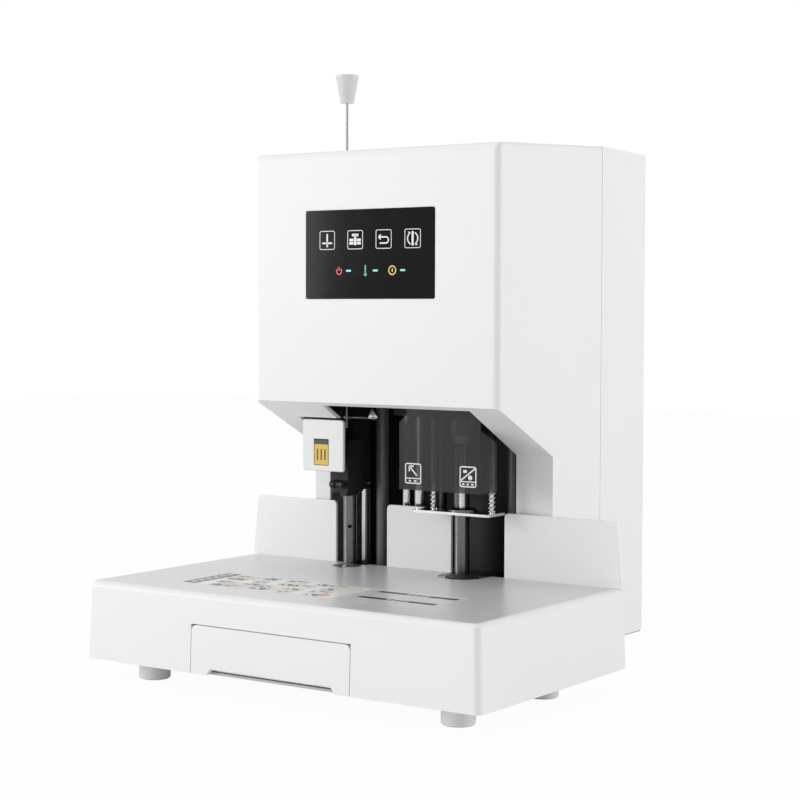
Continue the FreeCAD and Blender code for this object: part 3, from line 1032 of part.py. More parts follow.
# ---------------------------------------------------------------- paper bin
def make_paper_bin():
    """Drawer for the paper chips: a drafted front with a finger notch, and a tray behind it."""
    drawer = piece("paper_bin")
    front = sketch_on(drawer, "YZ_Plane", "-dim.bin_left")
    polygon(front, [("0", "dim.foot_height"),
                    ("dim.base_draft / dim.base_height * dim.bin_height", BIN_TOP),
                    (CAVITY_FRONT, BIN_TOP), (CAVITY_FRONT, "dim.foot_height")])
    extrude(drawer, front, "dim.bin_left + dim.bin_right")
    blend(drawer, "dim.bin_corner", lambda e: runs(e, Y) and lies(e, z=BIN_TOP))
    floor, rim = f"({PAN_TOP} + dim.bin_lift)", f"({BIN_TOP} - dim.bin_drop)"
    left, right = "(dim.bin_lip - dim.bin_left)", "(dim.bin_right - dim.bin_lip)"
    tray = sketch_on(drawer, "XY_Plane", floor)
    rectangle(tray, left, right, f"{CAVITY_FRONT} - dim.overrun", BIN_REAR)
    extrude(drawer, tray, f"{rim} - {floor}")
    hollow = sketch_on(drawer, "XY_Plane", rim)
    rectangle(hollow, f"{left} + dim.bin_wall", f"{right} - dim.bin_wall", CAVITY_FRONT,
              f"{BIN_REAR} - dim.bin_wall")
    cut(drawer, hollow, f"{rim} - {floor} - dim.bin_wall")
    notch = upright(drawer, "-dim.overrun")
    foot, lintel = "dim.foot_height - dim.overrun", "dim.foot_height + dim.notch_height"
    polygon(notch, [("-dim.notch_left", foot), ("dim.notch_right", foot),
                    ("dim.notch_right - dim.notch_slant", lintel),
                    ("-dim.notch_left + dim.notch_slant", lintel)])
    cut(drawer, notch, f"{CAVITY_FRONT} + 2 * dim.overrun", plus=True)
    runners = piece("bin_runners")
    plan = sketch_on(runners, "XY_Plane", PAN_TOP)
    for inner, outer in ((f"{left} - dim.seat_gap", f"{left} - dim.seat_gap - dim.runner_width"),
                         (f"{right} + dim.seat_gap", f"{right} + dim.seat_gap + dim.runner_width")):
        rectangle(plan, inner, outer, f"{CAVITY_FRONT} + dim.runner_start", f"{BIN_REAR} + dim.runner_past")
    extrude(runners, plan, "dim.runner_height")


# ---------------------------------------------------------------- electrics
def make_inlet():
    """Three-pin mains inlet at the rear."""
    inlet = piece("power_inlet", "dim.inlet_side", "dim.machine_depth", "dim.inlet_level")
    front = upright(inlet)
    centred(front, "0", "0", "dim.inlet_width", "dim.inlet_height")
    extrude(inlet, front, "dim.inlet_depth", plus=False)
    well = upright(inlet)
    centred(well, "0", "0", "dim.inlet_width", "dim.inlet_height", "(0 - dim.inlet_wall)")
    cut(inlet, well, "dim.inlet_well")
    pins = upright(inlet, "-dim.pin_depth")
    for step in (-1, 0, 1):
        centred(pins, f"{step} * dim.pin_pitch", "0", "dim.pin_width", "dim.pin_height")
    extrude(inlet, pins, "dim.inlet_depth - dim.pin_depth", plus=False)


def make_switch():
    """Mains switch beside the inlet: a frame with a well, and a rocker that tilts in it."""
    switch = piece("power_switch", "dim.switch_side", "dim.machine_depth", "dim.inlet_level")
    frame = upright(switch)
    centred(frame, "0", "0", "dim.switch_width", "dim.switch_height")
    extrude(switch, frame, "dim.switch_depth", plus=False)
    well = upright(switch)
    centred(well, "0", "0", "dim.rocker_width", "dim.rocker_height", "dim.seat_gap")
    cut(switch, well, "dim.switch_well")
    pivots = sketch_on(switch, "YZ_Plane")
    circle(pivots, "-dim.rocker_pivot", "0", running("dim.rocker_pin"))
    cut(switch, pivots, "dim.rocker_width + 2 * (dim.rocker_pin_end + dim.seat_gap)", midplane=True)
    rocker = piece("switch_rocker", "dim.switch_side", "dim.machine_depth - dim.rocker_pivot",
                   "dim.inlet_level")
    rocker.Placement.Rotation = FreeCAD.Rotation(X, number("dim.rocker_tilt"))
    side = sketch_on(rocker, "YZ_Plane")
    reach = "(dim.rocker_height / 2 - dim.rocker_end)"
    polygon(side, [("dim.rocker_crown", f"-{reach}"), ("dim.rocker_dip", "0"), ("dim.rocker_crown", reach),
                   ("0 - dim.rocker_skirt", reach), ("0 - dim.rocker_keel", "0"),
                   ("0 - dim.rocker_skirt", f"-{reach}")])
    extrude(rocker, side, "dim.rocker_width", midplane=True)
    pin = sketch_on(rocker, "YZ_Plane")
    circle(pin, "0", "0", "dim.rocker_pin / 2")
    extrude(rocker, pin, "dim.rocker_width + 2 * dim.rocker_pin_end", midplane=True)


def make_power_supply():
    """Closed power supply on the rear of the back plate, above the inlet and the switch."""
    supply = piece("power_supply", "dim.supply_side", f"{PLATE_DEPTH} + dim.plate_thickness",
                   "dim.inlet_level + dim.switch_height / 2 + dim.supply_gap")
    plan = sketch_on(supply, "XY_Plane")
    rectangle(plan, "-dim.supply_width / 2", "dim.supply_width / 2", "0", "dim.supply_depth")
    extrude(supply, plan, "dim.supply_height")


# ---------------------------------------------------------------- build
make_rubber_feet()
make_foot_screws()
make_bottom_pan()
make_base_housing()
make_table_plate()
make_fences()
make_head_housing()
make_control_panel()
make_rear_cover()
make_frame()
make_columns()
make_feed("rivet", RIVET_SCREW)
make_feed("drill", DRILL_SCREW)
make_rivet_slider()
make_hot_head()
make_clamp_knob()
make_tube_latch()
make_rivet_cover()
make_push_rod()
make_seats()
make_drill_carriage()
make_spindle()
make_pulleys()
make_drive_belt()
make_drill_motor()
make_press()
make_drill_guard()
make_paper_bin()
make_inlet()
make_switch()
make_power_supply()

# ---------------------------------------------------------------- check and write
doc.recompute()
for item in doc.Objects:
    if "Invalid" in item.State or "Error" in item.State:
        raise ValueError(f"{item.Name} failed: {item.State}")
os.makedirs("parts", exist_ok=True)
for body in pieces:
    if body.Shape.isNull() or not body.Shape.isValid():
        raise ValueError(f"{body.Label} has no valid shape")
    body.Shape.exportStep(os.path.join("parts", body.Label + ".step"))
    print(body.Label, len(body.Shape.Solids), round(body.Shape.Volume))
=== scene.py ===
"""Looks of a document riveting machine: it drills a stack of paper and binds it with a hot plastic tube."""

import math

import bmesh
import bpy
from mathutils import Matrix, Vector


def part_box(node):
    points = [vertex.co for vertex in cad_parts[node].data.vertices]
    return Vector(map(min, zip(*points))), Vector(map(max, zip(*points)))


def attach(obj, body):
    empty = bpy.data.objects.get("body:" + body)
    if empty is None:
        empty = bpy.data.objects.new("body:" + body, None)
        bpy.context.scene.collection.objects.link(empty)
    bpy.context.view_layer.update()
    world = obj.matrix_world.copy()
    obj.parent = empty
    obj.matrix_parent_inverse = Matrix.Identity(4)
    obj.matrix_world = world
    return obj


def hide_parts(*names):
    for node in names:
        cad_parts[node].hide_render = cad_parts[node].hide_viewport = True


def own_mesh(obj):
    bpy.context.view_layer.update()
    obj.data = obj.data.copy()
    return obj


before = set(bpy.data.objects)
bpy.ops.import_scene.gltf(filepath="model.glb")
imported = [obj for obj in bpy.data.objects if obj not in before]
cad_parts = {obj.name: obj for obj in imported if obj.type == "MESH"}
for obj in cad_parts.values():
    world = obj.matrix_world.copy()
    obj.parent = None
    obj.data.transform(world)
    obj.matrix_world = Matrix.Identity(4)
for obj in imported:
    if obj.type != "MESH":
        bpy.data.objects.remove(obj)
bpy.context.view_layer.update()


# ---------------------------------------------------------------- base, tool head and rear cover
# Three injection-moulded shells of white ABS, spark-eroded to a fine satin grain. The base carries the
# table, the head stands on its column behind it, and the rear cover closes the head along one seam.
class Spread:
    """What one output of a finish's nodes gives over a surface. Sums on it become Math nodes."""

    def __init__(self, tree, socket):
        self.tree, self.socket = tree, socket

    def node(self, kind, settings=(), inputs=(), output=0):
        """Adds a node of any kind: its settings go in first, then the values or links of its sockets."""
        made = self.tree.nodes.new(kind)
        for name, setting in dict(settings).items():
            setattr(made, name, setting)
        for name, given in dict(inputs).items():
            if isinstance(given, Spread):
                self.tree.links.new(given.socket, made.inputs[name])
            else:
                made.inputs[name].default_value = given
        return Spread(self.tree, made.outputs[output])

    def maths(self, operation, *others):
        return self.node("ShaderNodeMath", {"operation": operation}, enumerate((self, *others)))

    def __add__(self, other):
        return self.maths("ADD", other)

    def __mul__(self, other):
        return self.maths("MULTIPLY", other)

    def __lt__(self, other):
        return self.maths("LESS_THAN", other)

    def __gt__(self, other):
        return self.maths("GREATER_THAN", other)

    __radd__, __rmul__ = __add__, __mul__


class Finish:
    """One kind of surface. What is even all over it is set on the shader's own sockets."""

    def __init__(self, name, **even):
        self.material = bpy.data.materials.new(name)
        self.material.use_nodes = True
        self.tree = self.material.node_tree
        self.shader = self.tree.nodes["Principled BSDF"]
        for socket, number in even.items():
            self.shader.inputs[socket.replace("_", " ")].default_value = number
        self.place = Spread(self.tree, self.tree.nodes.new("ShaderNodeTexCoord").outputs["Object"])

    def feed(self, socket, spread):
        self.tree.links.new(spread.socket, self.shader.inputs[socket])

    def clouds(self, size, detail=2.0, stretch=(1, 1, 1)):
        """Soft noise of a size in metres, packed closer along an axis whose stretch is large."""
        spots = self.place.node("ShaderNodeVectorMath", {"operation": "MULTIPLY"},
                                {0: self.place, 1: stretch})
        return spots.node("ShaderNodeTexNoise", {}, {"Vector": spots, "Scale": 1 / size, "Detail": detail})

    def mix(self, share, low, high):
        """A colour between two."""
        return share.node("ShaderNodeMix", {"data_type": "RGBA"}, {0: share, 6: (*low, 1), 7: (*high, 1)}, 2)

    def relief(self, height, depth):
        self.feed("Normal", height.node("ShaderNodeBump", {}, {"Height": height, "Distance": depth}))


def dress(finish, *nodes):
    """Gives CAD nodes their finish."""
    for node in nodes:
        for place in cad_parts[node].material_slots:
            place.material = finish.material


def moulded(name, colour, roughness, grain=0.0011, depth=0.000012, wander=0.02, **even):
    """Moulded or coated surface: fine grain, and a shade and gloss that wander a little over it."""
    patches, grain_gloss, patch_gloss = 0.11, 0.07, 0.05
    finish = Finish(name, **even)
    drift, pits = finish.clouds(patches, 3), finish.clouds(grain, 3)
    finish.feed("Base Color", finish.mix(drift, [c * (1 - wander) for c in colour], colour))
    smoothest = roughness - (grain_gloss + patch_gloss) / 2
    finish.feed("Roughness", pits * grain_gloss + drift * patch_gloss + smoothest)
    finish.relief(pits, depth)
    return finish


white_shell = moulded("white_shell", (0.88, 0.88, 0.885), 0.42)
dress(white_shell, "base_housing", "head_housing", "rear_cover")


# ---------------------------------------------------------------- feet and bottom pan
# Six pale rubber feet, each moulded with a hollow for the screw that holds it to the bottom pan. The pan
# is steel sheet with a light grey coat, and it closes the base and the column from below.
foot_rubber = moulded("foot_rubber", (0.94, 0.94, 0.94), 0.62, grain=0.0006, depth=0.00003, wander=0.06)
dress(foot_rubber, "rubber_feet")
pan_grey = moulded("pan_grey", (0.52, 0.52, 0.53), 0.45, grain=0.0009, depth=0.00002, wander=0.05)
dress(pan_grey, "bottom_pan")


def machined(name, colour, roughness, lines=(1, 1, 40), depth=0.000004, **even):
    """Bare or plated metal with the fine lines of its turning, grinding or rolling."""
    line_length, patches = 0.012, 0.05
    line_shade, line_gloss, patch_gloss = 0.88, 0.10, 0.06
    finish = Finish(name, Metallic=1.0, **even)
    cuts, drift = finish.clouds(line_length, 3, lines), finish.clouds(patches)
    finish.feed("Base Color", finish.mix(cuts, [c * line_shade for c in colour], colour))
    smoothest = roughness - (line_gloss + patch_gloss) / 2
    finish.feed("Roughness", cuts * line_gloss + drift * patch_gloss + smoothest)
    finish.relief(cuts, depth)
    return finish


dark_steel = machined("dark_steel", (0.10, 0.10, 0.11), 0.38)
dress(dark_steel, "foot_screws")


# ---------------------------------------------------------------- paper table and its prints
# Steel plate with a satin grey powder coat, let into the top of the base. A clear film on it carries the
# print: pictures of the steps at the left, and two black bars for the sheets' place.
table_grey = moulded("table_grey", (0.68, 0.68, 0.69), 0.32, grain=0.0007, depth=0.000005, wander=0.03,
                     Coat_Weight=0.4, Coat_Roughness=0.32)
dress(table_grey, "table_plate")


def piece(name, shape, finish, body, stands_for=(), crease=35):
    """Turns a bmesh into a piece of the machine that rides on a body, with its faces outwards."""
    bmesh.ops.remove_doubles(shape, verts=shape.verts, dist=0.000001)
    bmesh.ops.recalc_face_normals(shape, faces=shape.faces)
    mesh = bpy.data.meshes.new(name)
    shape.to_mesh(mesh)
    shape.free()
    mesh.shade_smooth()
    mesh.set_sharp_from_angle(angle=math.radians(crease))
    mesh.materials.append(finish.material)
    made = bpy.data.objects.new(name, mesh)
    bpy.context.scene.collection.objects.link(made)
    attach(made, body)
    if stands_for:
        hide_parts(*stands_for)
    return made


ink_coat = 0.0001


def stroke(shape, start, end, width):
    """A straight printed line, drawn on a flat sheet that lies at the origin."""
    start, end = Vector((*start, 0)), Vector((*end, 0))
    along = end - start
    turn = Matrix.Rotation(math.atan2(along.y, along.x), 4, "Z")
    size = Matrix.Diagonal((along.length, width, ink_coat, 1))
    bmesh.ops.create_cube(shape, size=1, matrix=Matrix.Translation((start + end) / 2) @ turn @ size)


def patch(shape, centre, width, height):
    """A printed field."""
    stroke(shape, (centre[0] - width / 2, centre[1]), (centre[0] + width / 2, centre[1]), height)


def dot(shape, centre, radius):
    """A printed disc."""
    bmesh.ops.create_cone(shape, cap_ends=True, segments=28, radius1=radius, radius2=radius, depth=ink_coat,
                          matrix=Matrix.Translation((*centre, 0)))


def sweep(shape, centre, radius, width, start=0.0, angle=360.0):
    """A printed arc, or a whole ring: a narrow section spun round its centre."""
    whole, fewest_steps, step_angle = angle == 360, 4, 12
    near, far, half_coat = radius - width / 2, radius + width / 2, ink_coat / 2
    first = Matrix.Translation((*centre, 0)) @ Matrix.Rotation(math.radians(start), 4, "Z")
    corners = (near, -half_coat), (far, -half_coat), (far, half_coat), (near, half_coat)
    section = shape.faces.new([shape.verts.new(first @ Vector((across, 0, up))) for across, up in corners])
    geometry = [*section.verts, *section.edges, *([] if whole else [section])]
    bmesh.ops.spin(shape, geom=geometry, cent=(*centre, 0), axis=(0, 0, 1), dvec=(0, 0, 0),
                   angle=math.radians(angle), steps=max(fewest_steps, round(angle / step_angle)),
                   use_merge=whole)
    if whole:
        bmesh.ops.delete(shape, geom=[section], context="FACES_ONLY")


def outline(shape, centre, width, height, corner, line):
    """A printed frame with rounded corners."""
    x, y = width / 2 - corner, height / 2 - corner
    for turn, (across, up) in enumerate(((x, y), (-x, y), (-x, -y), (x, -y))):
        sweep(shape, (centre[0] + across, centre[1] + up), corner, line, 90 * turn, 90)
    for side in (-1, 1):
        edge_x, edge_y = centre[0] + side * width / 2, centre[1] + side * height / 2
        stroke(shape, (edge_x, centre[1] - y), (edge_x, centre[1] + y), line)
        stroke(shape, (centre[0] - x, edge_y), (centre[0] + x, edge_y), line)


def printed(name, shape, finish, body, level, upright=False):
    """Lays a print on a level top, or on an upright face that looks to the front."""
    stand = Matrix.Translation((0, 0, level))
    if upright:
        stand = Matrix.Translation((0, level, 0)) @ Matrix.Rotation(math.radians(90), 4, "X")
    bmesh.ops.transform(shape, matrix=stand, verts=shape.verts)
    piece(name, shape, finish, body)


def ink(name, colour, roughness=0.4, **even):
    """A printing ink: even in colour, with the slight mottle of a screen print."""
    return moulded(name, colour, roughness, grain=0.0004, depth=0.000002, wander=0.06, **even)


table_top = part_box("table_plate")[1].z
label_level = table_top + ink_coat
field_level, picture_level = label_level + ink_coat, label_level + 2 * ink_coat
sticker_row, edge_highlight_row = -0.128, -0.0966

film = bmesh.new()
patch(film, (-0.0025, sticker_row), 0.250, 0.065)
printed("table_film", film, ink("film_clear", (0.70, 0.70, 0.71), 0.27), "machine", table_top)
label_and_edge_highlight = bmesh.new()
patch(label_and_edge_highlight, (-0.048, sticker_row), 0.158, 0.064)
# pale stroke along the film's back edge, right of the label: a painted highlight of that edge
stroke(label_and_edge_highlight, (0.031, edge_highlight_row), (0.1220, edge_highlight_row), 0.0013)
printed("table_label_and_edge_highlight", label_and_edge_highlight, ink("label_ink_and_edge_highlight", (0.86, 0.86, 0.85), 0.3), "machine", label_level)

# black ink of the prints, also used for the painted shade in the rear screws' recesses
black_ink_and_painted_shade = ink("black_ink_and_painted_shade", (0.018, 0.018, 0.02), 0.35)
sheet_bars, bar_width = bmesh.new(), 0.0062
bar_dashes = (0.0, 0.37), (0.41, 0.45), (0.49, 0.53), (0.57, 0.60), (0.64, 1.0)
for left, right, depth in ((0.042, 0.119, -0.1060), (0.044, 0.118, -0.1370)):
    reach = right - left
    for near, far in bar_dashes:
        stroke(sheet_bars, (left + near * reach, depth), (left + far * reach, depth), bar_width)
printed("table_bars", sheet_bars, black_ink_and_painted_shade, "machine", label_level)

strip_across = -0.1195
fields = (
    ("peach", (0.80, 0.66, 0.55), (-0.0985, -0.1100), 0.030, 0.017),
    ("cream", (0.78, 0.76, 0.62), (0.0120, -0.1125), 0.028, 0.020),
    ("rose", (0.80, 0.68, 0.63), (-0.0760, -0.1460), 0.036, 0.019),
    ("sand", (0.80, 0.72, 0.61), (-0.0260, -0.1440), 0.026, 0.021),
    ("slate", (0.15, 0.16, 0.16), (strip_across, sticker_row), 0.014, 0.062),
)
for shade_name, shade, centre, width, height in fields:
    field = bmesh.new()
    patch(field, centre, width, height)
    printed(f"table_field_{shade_name}", field, ink(f"ink_{shade_name}", shade), "machine", field_level)

step_columns = (-0.1010, -0.0760, -0.0510, -0.0260, -0.0010)
step_rows = (-0.1055, -0.1225, -0.1395, -0.1540)
shift_across, shift_back = 0.0031, 0.0011
smallest, growth = 0.0040, 0.0016
frames, steps = bmesh.new(), bmesh.new()
for number, (x, y) in enumerate((x, y) for y in step_rows for x in step_columns):
    x, y = x + number % 4 * shift_across, y + number % 3 * shift_back
    reach = smallest + number % 3 * growth
    outline(frames, (x, y), 2 * reach + 0.004, 0.0100, 0.0014, 0.0006)
    stroke(steps, (x - reach, y - 0.0016), (x - reach * (number % 5) * 0.2, y - 0.0016), 0.0026)
    stroke(steps, (x - reach * 0.4, y + 0.0024), (x + reach * 0.9, y + 0.0014), 0.0013)
    if number % 2:
        sweep(steps, (x + reach * 0.5, y - 0.0008), 0.0019, 0.0011)
printed("table_step_frames", frames, ink("ink_pale", (0.60, 0.60, 0.59)), "machine", picture_level)
printed("table_step_marks", steps, ink("ink_grey", (0.10, 0.10, 0.09)), "machine", picture_level)

dots, first_dot, dot_pitch = bmesh.new(), -0.1040, 0.0095
for number in range(6):
    dot(dots, (strip_across, first_dot - dot_pitch * number), 0.0030)
printed("table_strip_dots", dots, ink("ink_light", (0.78, 0.78, 0.78)), "machine", picture_level)
spot = bmesh.new()
dot(spot, (0.016, -0.150), 0.0065)
printed("table_spot", spot, ink("ink_salmon", (0.78, 0.42, 0.32)), "machine", field_level)


# ---------------------------------------------------------------- paper fences
# Three upright stops of steel sheet with rounded top corners, coated white, that stand on the table in one
# line. The stations work in the gaps between them.
fence_white = moulded("fence_white", (0.90, 0.90, 0.905), 0.40, grain=0.0008, depth=0.000008)
dress(fence_white, "left_fence", "centre_fence", "right_fence")


# ---------------------------------------------------------------- frame and drawer runners
# Black-coated steel: the plate behind both stations, the beam below the table, the deck above the
# stations, and two posts between them. The drawer's runners have the same coat.
frame_black = moulded("frame_black", (0.034, 0.034, 0.036), 0.36, grain=0.0009, depth=0.00002, wander=0.25,
                      Specular_IOR_Level=0.25)
dress(frame_black, "frame_backplate", "lower_beam", "upper_deck", "bin_runners")
# the posts take a grey far lighter than the frame's black coat: a painted highlight, so that their lit sides
# show
post_grey_painted_highlight = moulded("post_grey_painted_highlight", (0.15, 0.15, 0.155), 0.34, grain=0.0009, depth=0.00001, wander=0.15)
dress(post_grey_painted_highlight, "frame_posts")


# ---------------------------------------------------------------- guide columns
# A thick ground column and a thinner chromed rod at each station, and a second thin rod beside the drill.
# A blackened set screw closes the oil hole in the front of the thick riveting column.
chrome_steel = machined("chrome_steel", (0.62, 0.62, 0.63), 0.14, lines=(1, 1, 60), depth=0.000001)
dress(chrome_steel, "side_rods", "drill_side_rod")
# colour far darker than bare ground steel: a painted dark reflection of the machine's dark inside
ground_steel_painted_dark = machined("ground_steel_painted_dark", (0.17, 0.17, 0.175), 0.24, lines=(1, 1, 60), depth=0.00004)
dress(ground_steel_painted_dark, "rivet_main_column", "drill_main_column")


def turned(shape, profile, stand, steps):
    """Spins a profile of (radius, level) pairs, and sets the turned shape where its axis stands."""
    before = set(shape.verts)
    spots = [shape.verts.new((radius, 0, level)) for radius, level in profile]
    edges = [shape.edges.new(pair) for pair in zip(spots, spots[1:])]
    bmesh.ops.spin(shape, geom=[*spots, *edges], cent=(0, 0, 0), axis=(0, 0, 1), dvec=(0, 0, 0),
                   angle=math.tau, steps=steps, use_merge=True)
    bmesh.ops.transform(shape, matrix=stand, verts=[v for v in shape.verts if v not in before])


thread_radius, thread_end, socket_depth = 0.00165, -0.004, -0.0012
column_screw = bmesh.new()
turned(column_screw, [(0, thread_end), (thread_radius, thread_end), (thread_radius, 0), (0.0010, 0.0001),
                      (0.0009, socket_depth), (0, socket_depth)],
       Matrix.Translation((-0.0853, 0.0268, 0.1182)) @ Matrix.Rotation(math.radians(90), 4, "X"), 24)
piece("column_screw", column_screw, dark_steel, "machine")


# ---------------------------------------------------------------- feed screws, nuts and motors
# Each station is fed by a four-start screw of 8 mm lead, rolled in steel and blackened. It stands between
# beam and deck, a stepping motor on the deck turns it, and it runs in a flanged bronze nut.
dress(dark_steel, "rivet_feed_motor", "drill_feed_motor")
bronze_nut = machined("bronze_nut", (0.50, 0.34, 0.15), 0.30)
dress(bronze_nut, "rivet_nut", "drill_nut")
lead, starts, turn_steps = 0.008, 4, 20
core, crest, root, flank, land = 0.0031, 0.0040, 0.0029, 0.0004, 0.0006
plain_foot, plain_top = 0.010, 0.014
for name, body in (("rivet_feed_screw", "rivet_screw"), ("drill_feed_screw", "drill_screw")):
    low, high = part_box(name)
    foot = low.z + plain_foot
    turns = round((high.z - plain_top - foot) / lead)
    screw = bmesh.new()
    ridge = [screw.verts.new(corner) for corner in (
        (root, 0, foot), (crest, 0, foot + flank), (crest, 0, foot + flank + land),
        (root, 0, foot + 2 * flank + land))]
    section = screw.faces.new(ridge)
    bmesh.ops.spin(screw, geom=[section, *section.edges, *ridge], cent=(0, 0, 0), axis=(0, 0, 1),
                   dvec=(0, 0, lead / turn_steps), angle=math.tau * turns, steps=turns * turn_steps)
    bmesh.ops.spin(screw, geom=[*screw.verts, *screw.edges, *screw.faces], cent=(0, 0, 0), axis=(0, 0, 1),
                   dvec=(0, 0, 0), angle=math.tau * (starts - 1) / starts, steps=starts - 1,
                   use_duplicate=True)
    turned(screw, [(0, low.z), (core, low.z), (core, high.z), (0, high.z)], Matrix.Identity(4), 28)
    stand = Matrix.Translation(((low.x + high.x) / 2, (low.y + high.y) / 2, 0))
    bmesh.ops.transform(screw, matrix=stand, verts=screw.verts)
    piece(name.replace("feed_screw", "threaded_screw"), screw, dark_steel, body, [name])


# ---------------------------------------------------------------- riveting slider and its tube latch
# Black-coated casting that runs on both left columns and carries the hot head in its arm. The tube latch,
# a turned pin with a nut and a finger tab, crosses its cheek, and a blackened screw sits in its side.
def cast(name, colour, roughness, **even):
    """Coated casting: the sand's coarse skin shows through the coat."""
    lump_size, lump_depth, patches = 0.0022, 0.00005, 0.03
    patch_shade, lump_gloss = 0.7, 0.16
    finish = Finish(name, **even)
    lumps, stains = finish.clouds(lump_size, 4), finish.clouds(patches)
    finish.feed("Base Color", finish.mix(stains, [c * patch_shade for c in colour], colour))
    finish.feed("Roughness", lumps * lump_gloss + (roughness - lump_gloss / 2))
    finish.relief(lumps, lump_depth)
    return finish


casting_black = cast("casting_black", (0.026, 0.026, 0.027), 0.46, Specular_IOR_Level=0.22)
dress(casting_black, "rivet_slider")
bright_steel = machined("bright_steel", (0.58, 0.58, 0.59), 0.26)
dress(bright_steel, "tube_latch")
side_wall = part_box("rivet_slider")[1].x
head_radius, head_top, socket_radius, sunk = 0.0021, 0.0024, 0.0012, 0.0010
cheek_screw = bmesh.new()
turned(cheek_screw, [(0, -sunk), (head_radius, -sunk), (head_radius, head_top - 0.0003),
                     (head_radius - 0.0003, head_top), (socket_radius, head_top),
                     (socket_radius - 0.0001, 0.0010), (0, 0.0010)],
       Matrix.Translation((side_wall, 0.0266, 0.1601)) @ Matrix.Rotation(math.radians(90), 4, "Y"), 28)
piece("cheek_screw", cheek_screw, dark_steel, "rivet_slide")


# ---------------------------------------------------------------- hot head, heater and cover
# Brass head turned to a taper, in an alloy heater block, behind a moulded white cover. A yellow field
# with a black head and three bars on the cover marks the hot part.
brass_head = machined("brass_head", (0.68, 0.48, 0.20), 0.28)
dress(brass_head, "upper_rivet_head")
heater_alloy = cast("heater_alloy", (0.16, 0.16, 0.16), 0.45, Metallic=1.0)
dress(heater_alloy, "rivet_heater")
dress(white_shell, "rivet_cover")
cover_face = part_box("rivet_cover")[0].y - ink_coat / 2
ink_yellow = ink("ink_yellow", (0.80, 0.55, 0.06))
mark_across, mark_middle, mark_width = -0.0815, 0.1897, 0.0163
bar_foot, bar_top, bar_gap = 0.1825, 0.1925, 0.0042
field = bmesh.new()
patch(field, (mark_across, mark_middle), mark_width, 0.0235)
printed("cover_mark_field", field, ink_yellow, "rivet_slide", cover_face, upright=True)
lines = bmesh.new()
patch(lines, (mark_across, mark_middle + 0.0094), mark_width, 0.0048)
outline(lines, (mark_across, mark_middle), mark_width - 0.0005, 0.0230, 0.0008, 0.0006)
for x in (mark_across - bar_gap, mark_across, mark_across + bar_gap):
    stroke(lines, (x, bar_foot), (x, bar_top), 0.0014)
printed("cover_mark_lines", lines, black_ink_and_painted_shade, "rivet_slide", cover_face - ink_coat, upright=True)


# ---------------------------------------------------------------- small knob on the arm
# Roller of black plastic, turned with grip grooves at both ends, on a pin through the ear on the arm's
# front. The roller is necked between its two grips.
black_plastic = moulded("black_plastic", (0.022, 0.022, 0.023), 0.36, grain=0.0005, depth=0.00001, wander=0.2)
low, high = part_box("clamp_knob")
half, grip, pin = (high.x - low.x) / 2, (high.z - low.z) / 2, 0.0015
edge, groove_pitch, groove_depth, neck = 0.0007, 0.0018, 0.0005, 0.0018
profile = [(0, -half), (grip - edge, -half), (grip, -half + edge)]
for groove in range(1, 3):
    at = -half + groove_pitch * groove
    profile += [(grip, at), (grip - groove_depth, at + 0.0004), (grip - groove_depth, at + 0.0007),
                (grip, at + 0.0010)]
profile += [(grip, -neck - 0.0001), (grip - 0.0004, -neck), (pin, -neck)]
knob = bmesh.new()
turned(knob, profile + [(radius, -level) for radius, level in reversed(profile)],
       Matrix.Translation((low + high) / 2) @ Matrix.Rotation(math.radians(90), 4, "Y"), 32)
piece("grooved_knob", knob, black_plastic, "clamp", ["clamp_knob"])


# ---------------------------------------------------------------- tube pusher on the roof
# Thin ground steel rod that slides in a collar in the head's roof and pushes the tube down. Its cap is
# moulded in light grey plastic, widens to the top for the fingers and ends in a grooved rim.
rod_steel = machined("rod_steel", (0.28, 0.28, 0.29), 0.26, lines=(1, 1, 60))
dress(rod_steel, "push_rod")
knob_grey = moulded("knob_grey", (0.76, 0.76, 0.765), 0.30, grain=0.0007, Coat_Weight=0.3)
dress(knob_grey, "push_rod_bush")
low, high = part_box("push_rod_knob")
slimmer = 0.89
rim, foot, top = (high.x - low.x) / 2 * slimmer, low.z + 0.0010, high.z - 0.0013
cap = bmesh.new()
turned(cap, [(0, foot), (rim * 0.55, foot), (rim * 0.60, foot + 0.0005), (rim * 0.96, top - 0.0034),
             (rim, top - 0.0030), (rim, top - 0.0020), (rim * 0.95, top - 0.0018),
             (rim * 0.95, top - 0.0014), (rim * 0.98, top - 0.0012), (rim * 0.95, top - 0.0004),
             (rim * 0.85, top), (0, top)],
       Matrix.Translation(((low.x + high.x) / 2, (low.y + high.y) / 2, 0)), 64)
piece("pusher_cap", cap, knob_grey, "tube_rod", ["push_rod_knob"], 50)


# ---------------------------------------------------------------- seats in the table
# Two machined steel tongues let into the table, one round the lower hot head and one round the cutting
# pad of hard dark plastic, which is turned by hand when a spot is worn.
seat_steel = machined("seat_steel", (0.42, 0.42, 0.43), 0.34, lines=(40, 1, 1))
dress(seat_steel, "rivet_anvil", "drill_pad_seat", "lower_rivet_head")
pad_plastic = moulded("pad_plastic", (0.010, 0.010, 0.010), 0.5, grain=0.0006, depth=0.00003, wander=0.3)
dress(pad_plastic, "cutting_pad")


# ---------------------------------------------------------------- drilling carriage and its drive
# Black casting on two columns. It carries the spindle in its bearings, the motor beside it and the belt
# over both pulleys, and the chuck holds the hollow drill below.
dress(casting_black, "drill_carriage")
dress(bright_steel, "spindle_bearings", "drill_spindle", "drill_chuck", "hollow_drill", "motor_shaft")
pulley_alloy = machined("pulley_alloy", (0.62, 0.62, 0.64), 0.30)
dress(pulley_alloy, "spindle_pulley", "motor_pulley")
dress(dark_steel, "drill_motor")
belt_rubber = moulded("belt_rubber", (0.02, 0.02, 0.02), 0.7, grain=0.0004, depth=0.00003, wander=0.2)
dress(belt_rubber, "drive_belt")


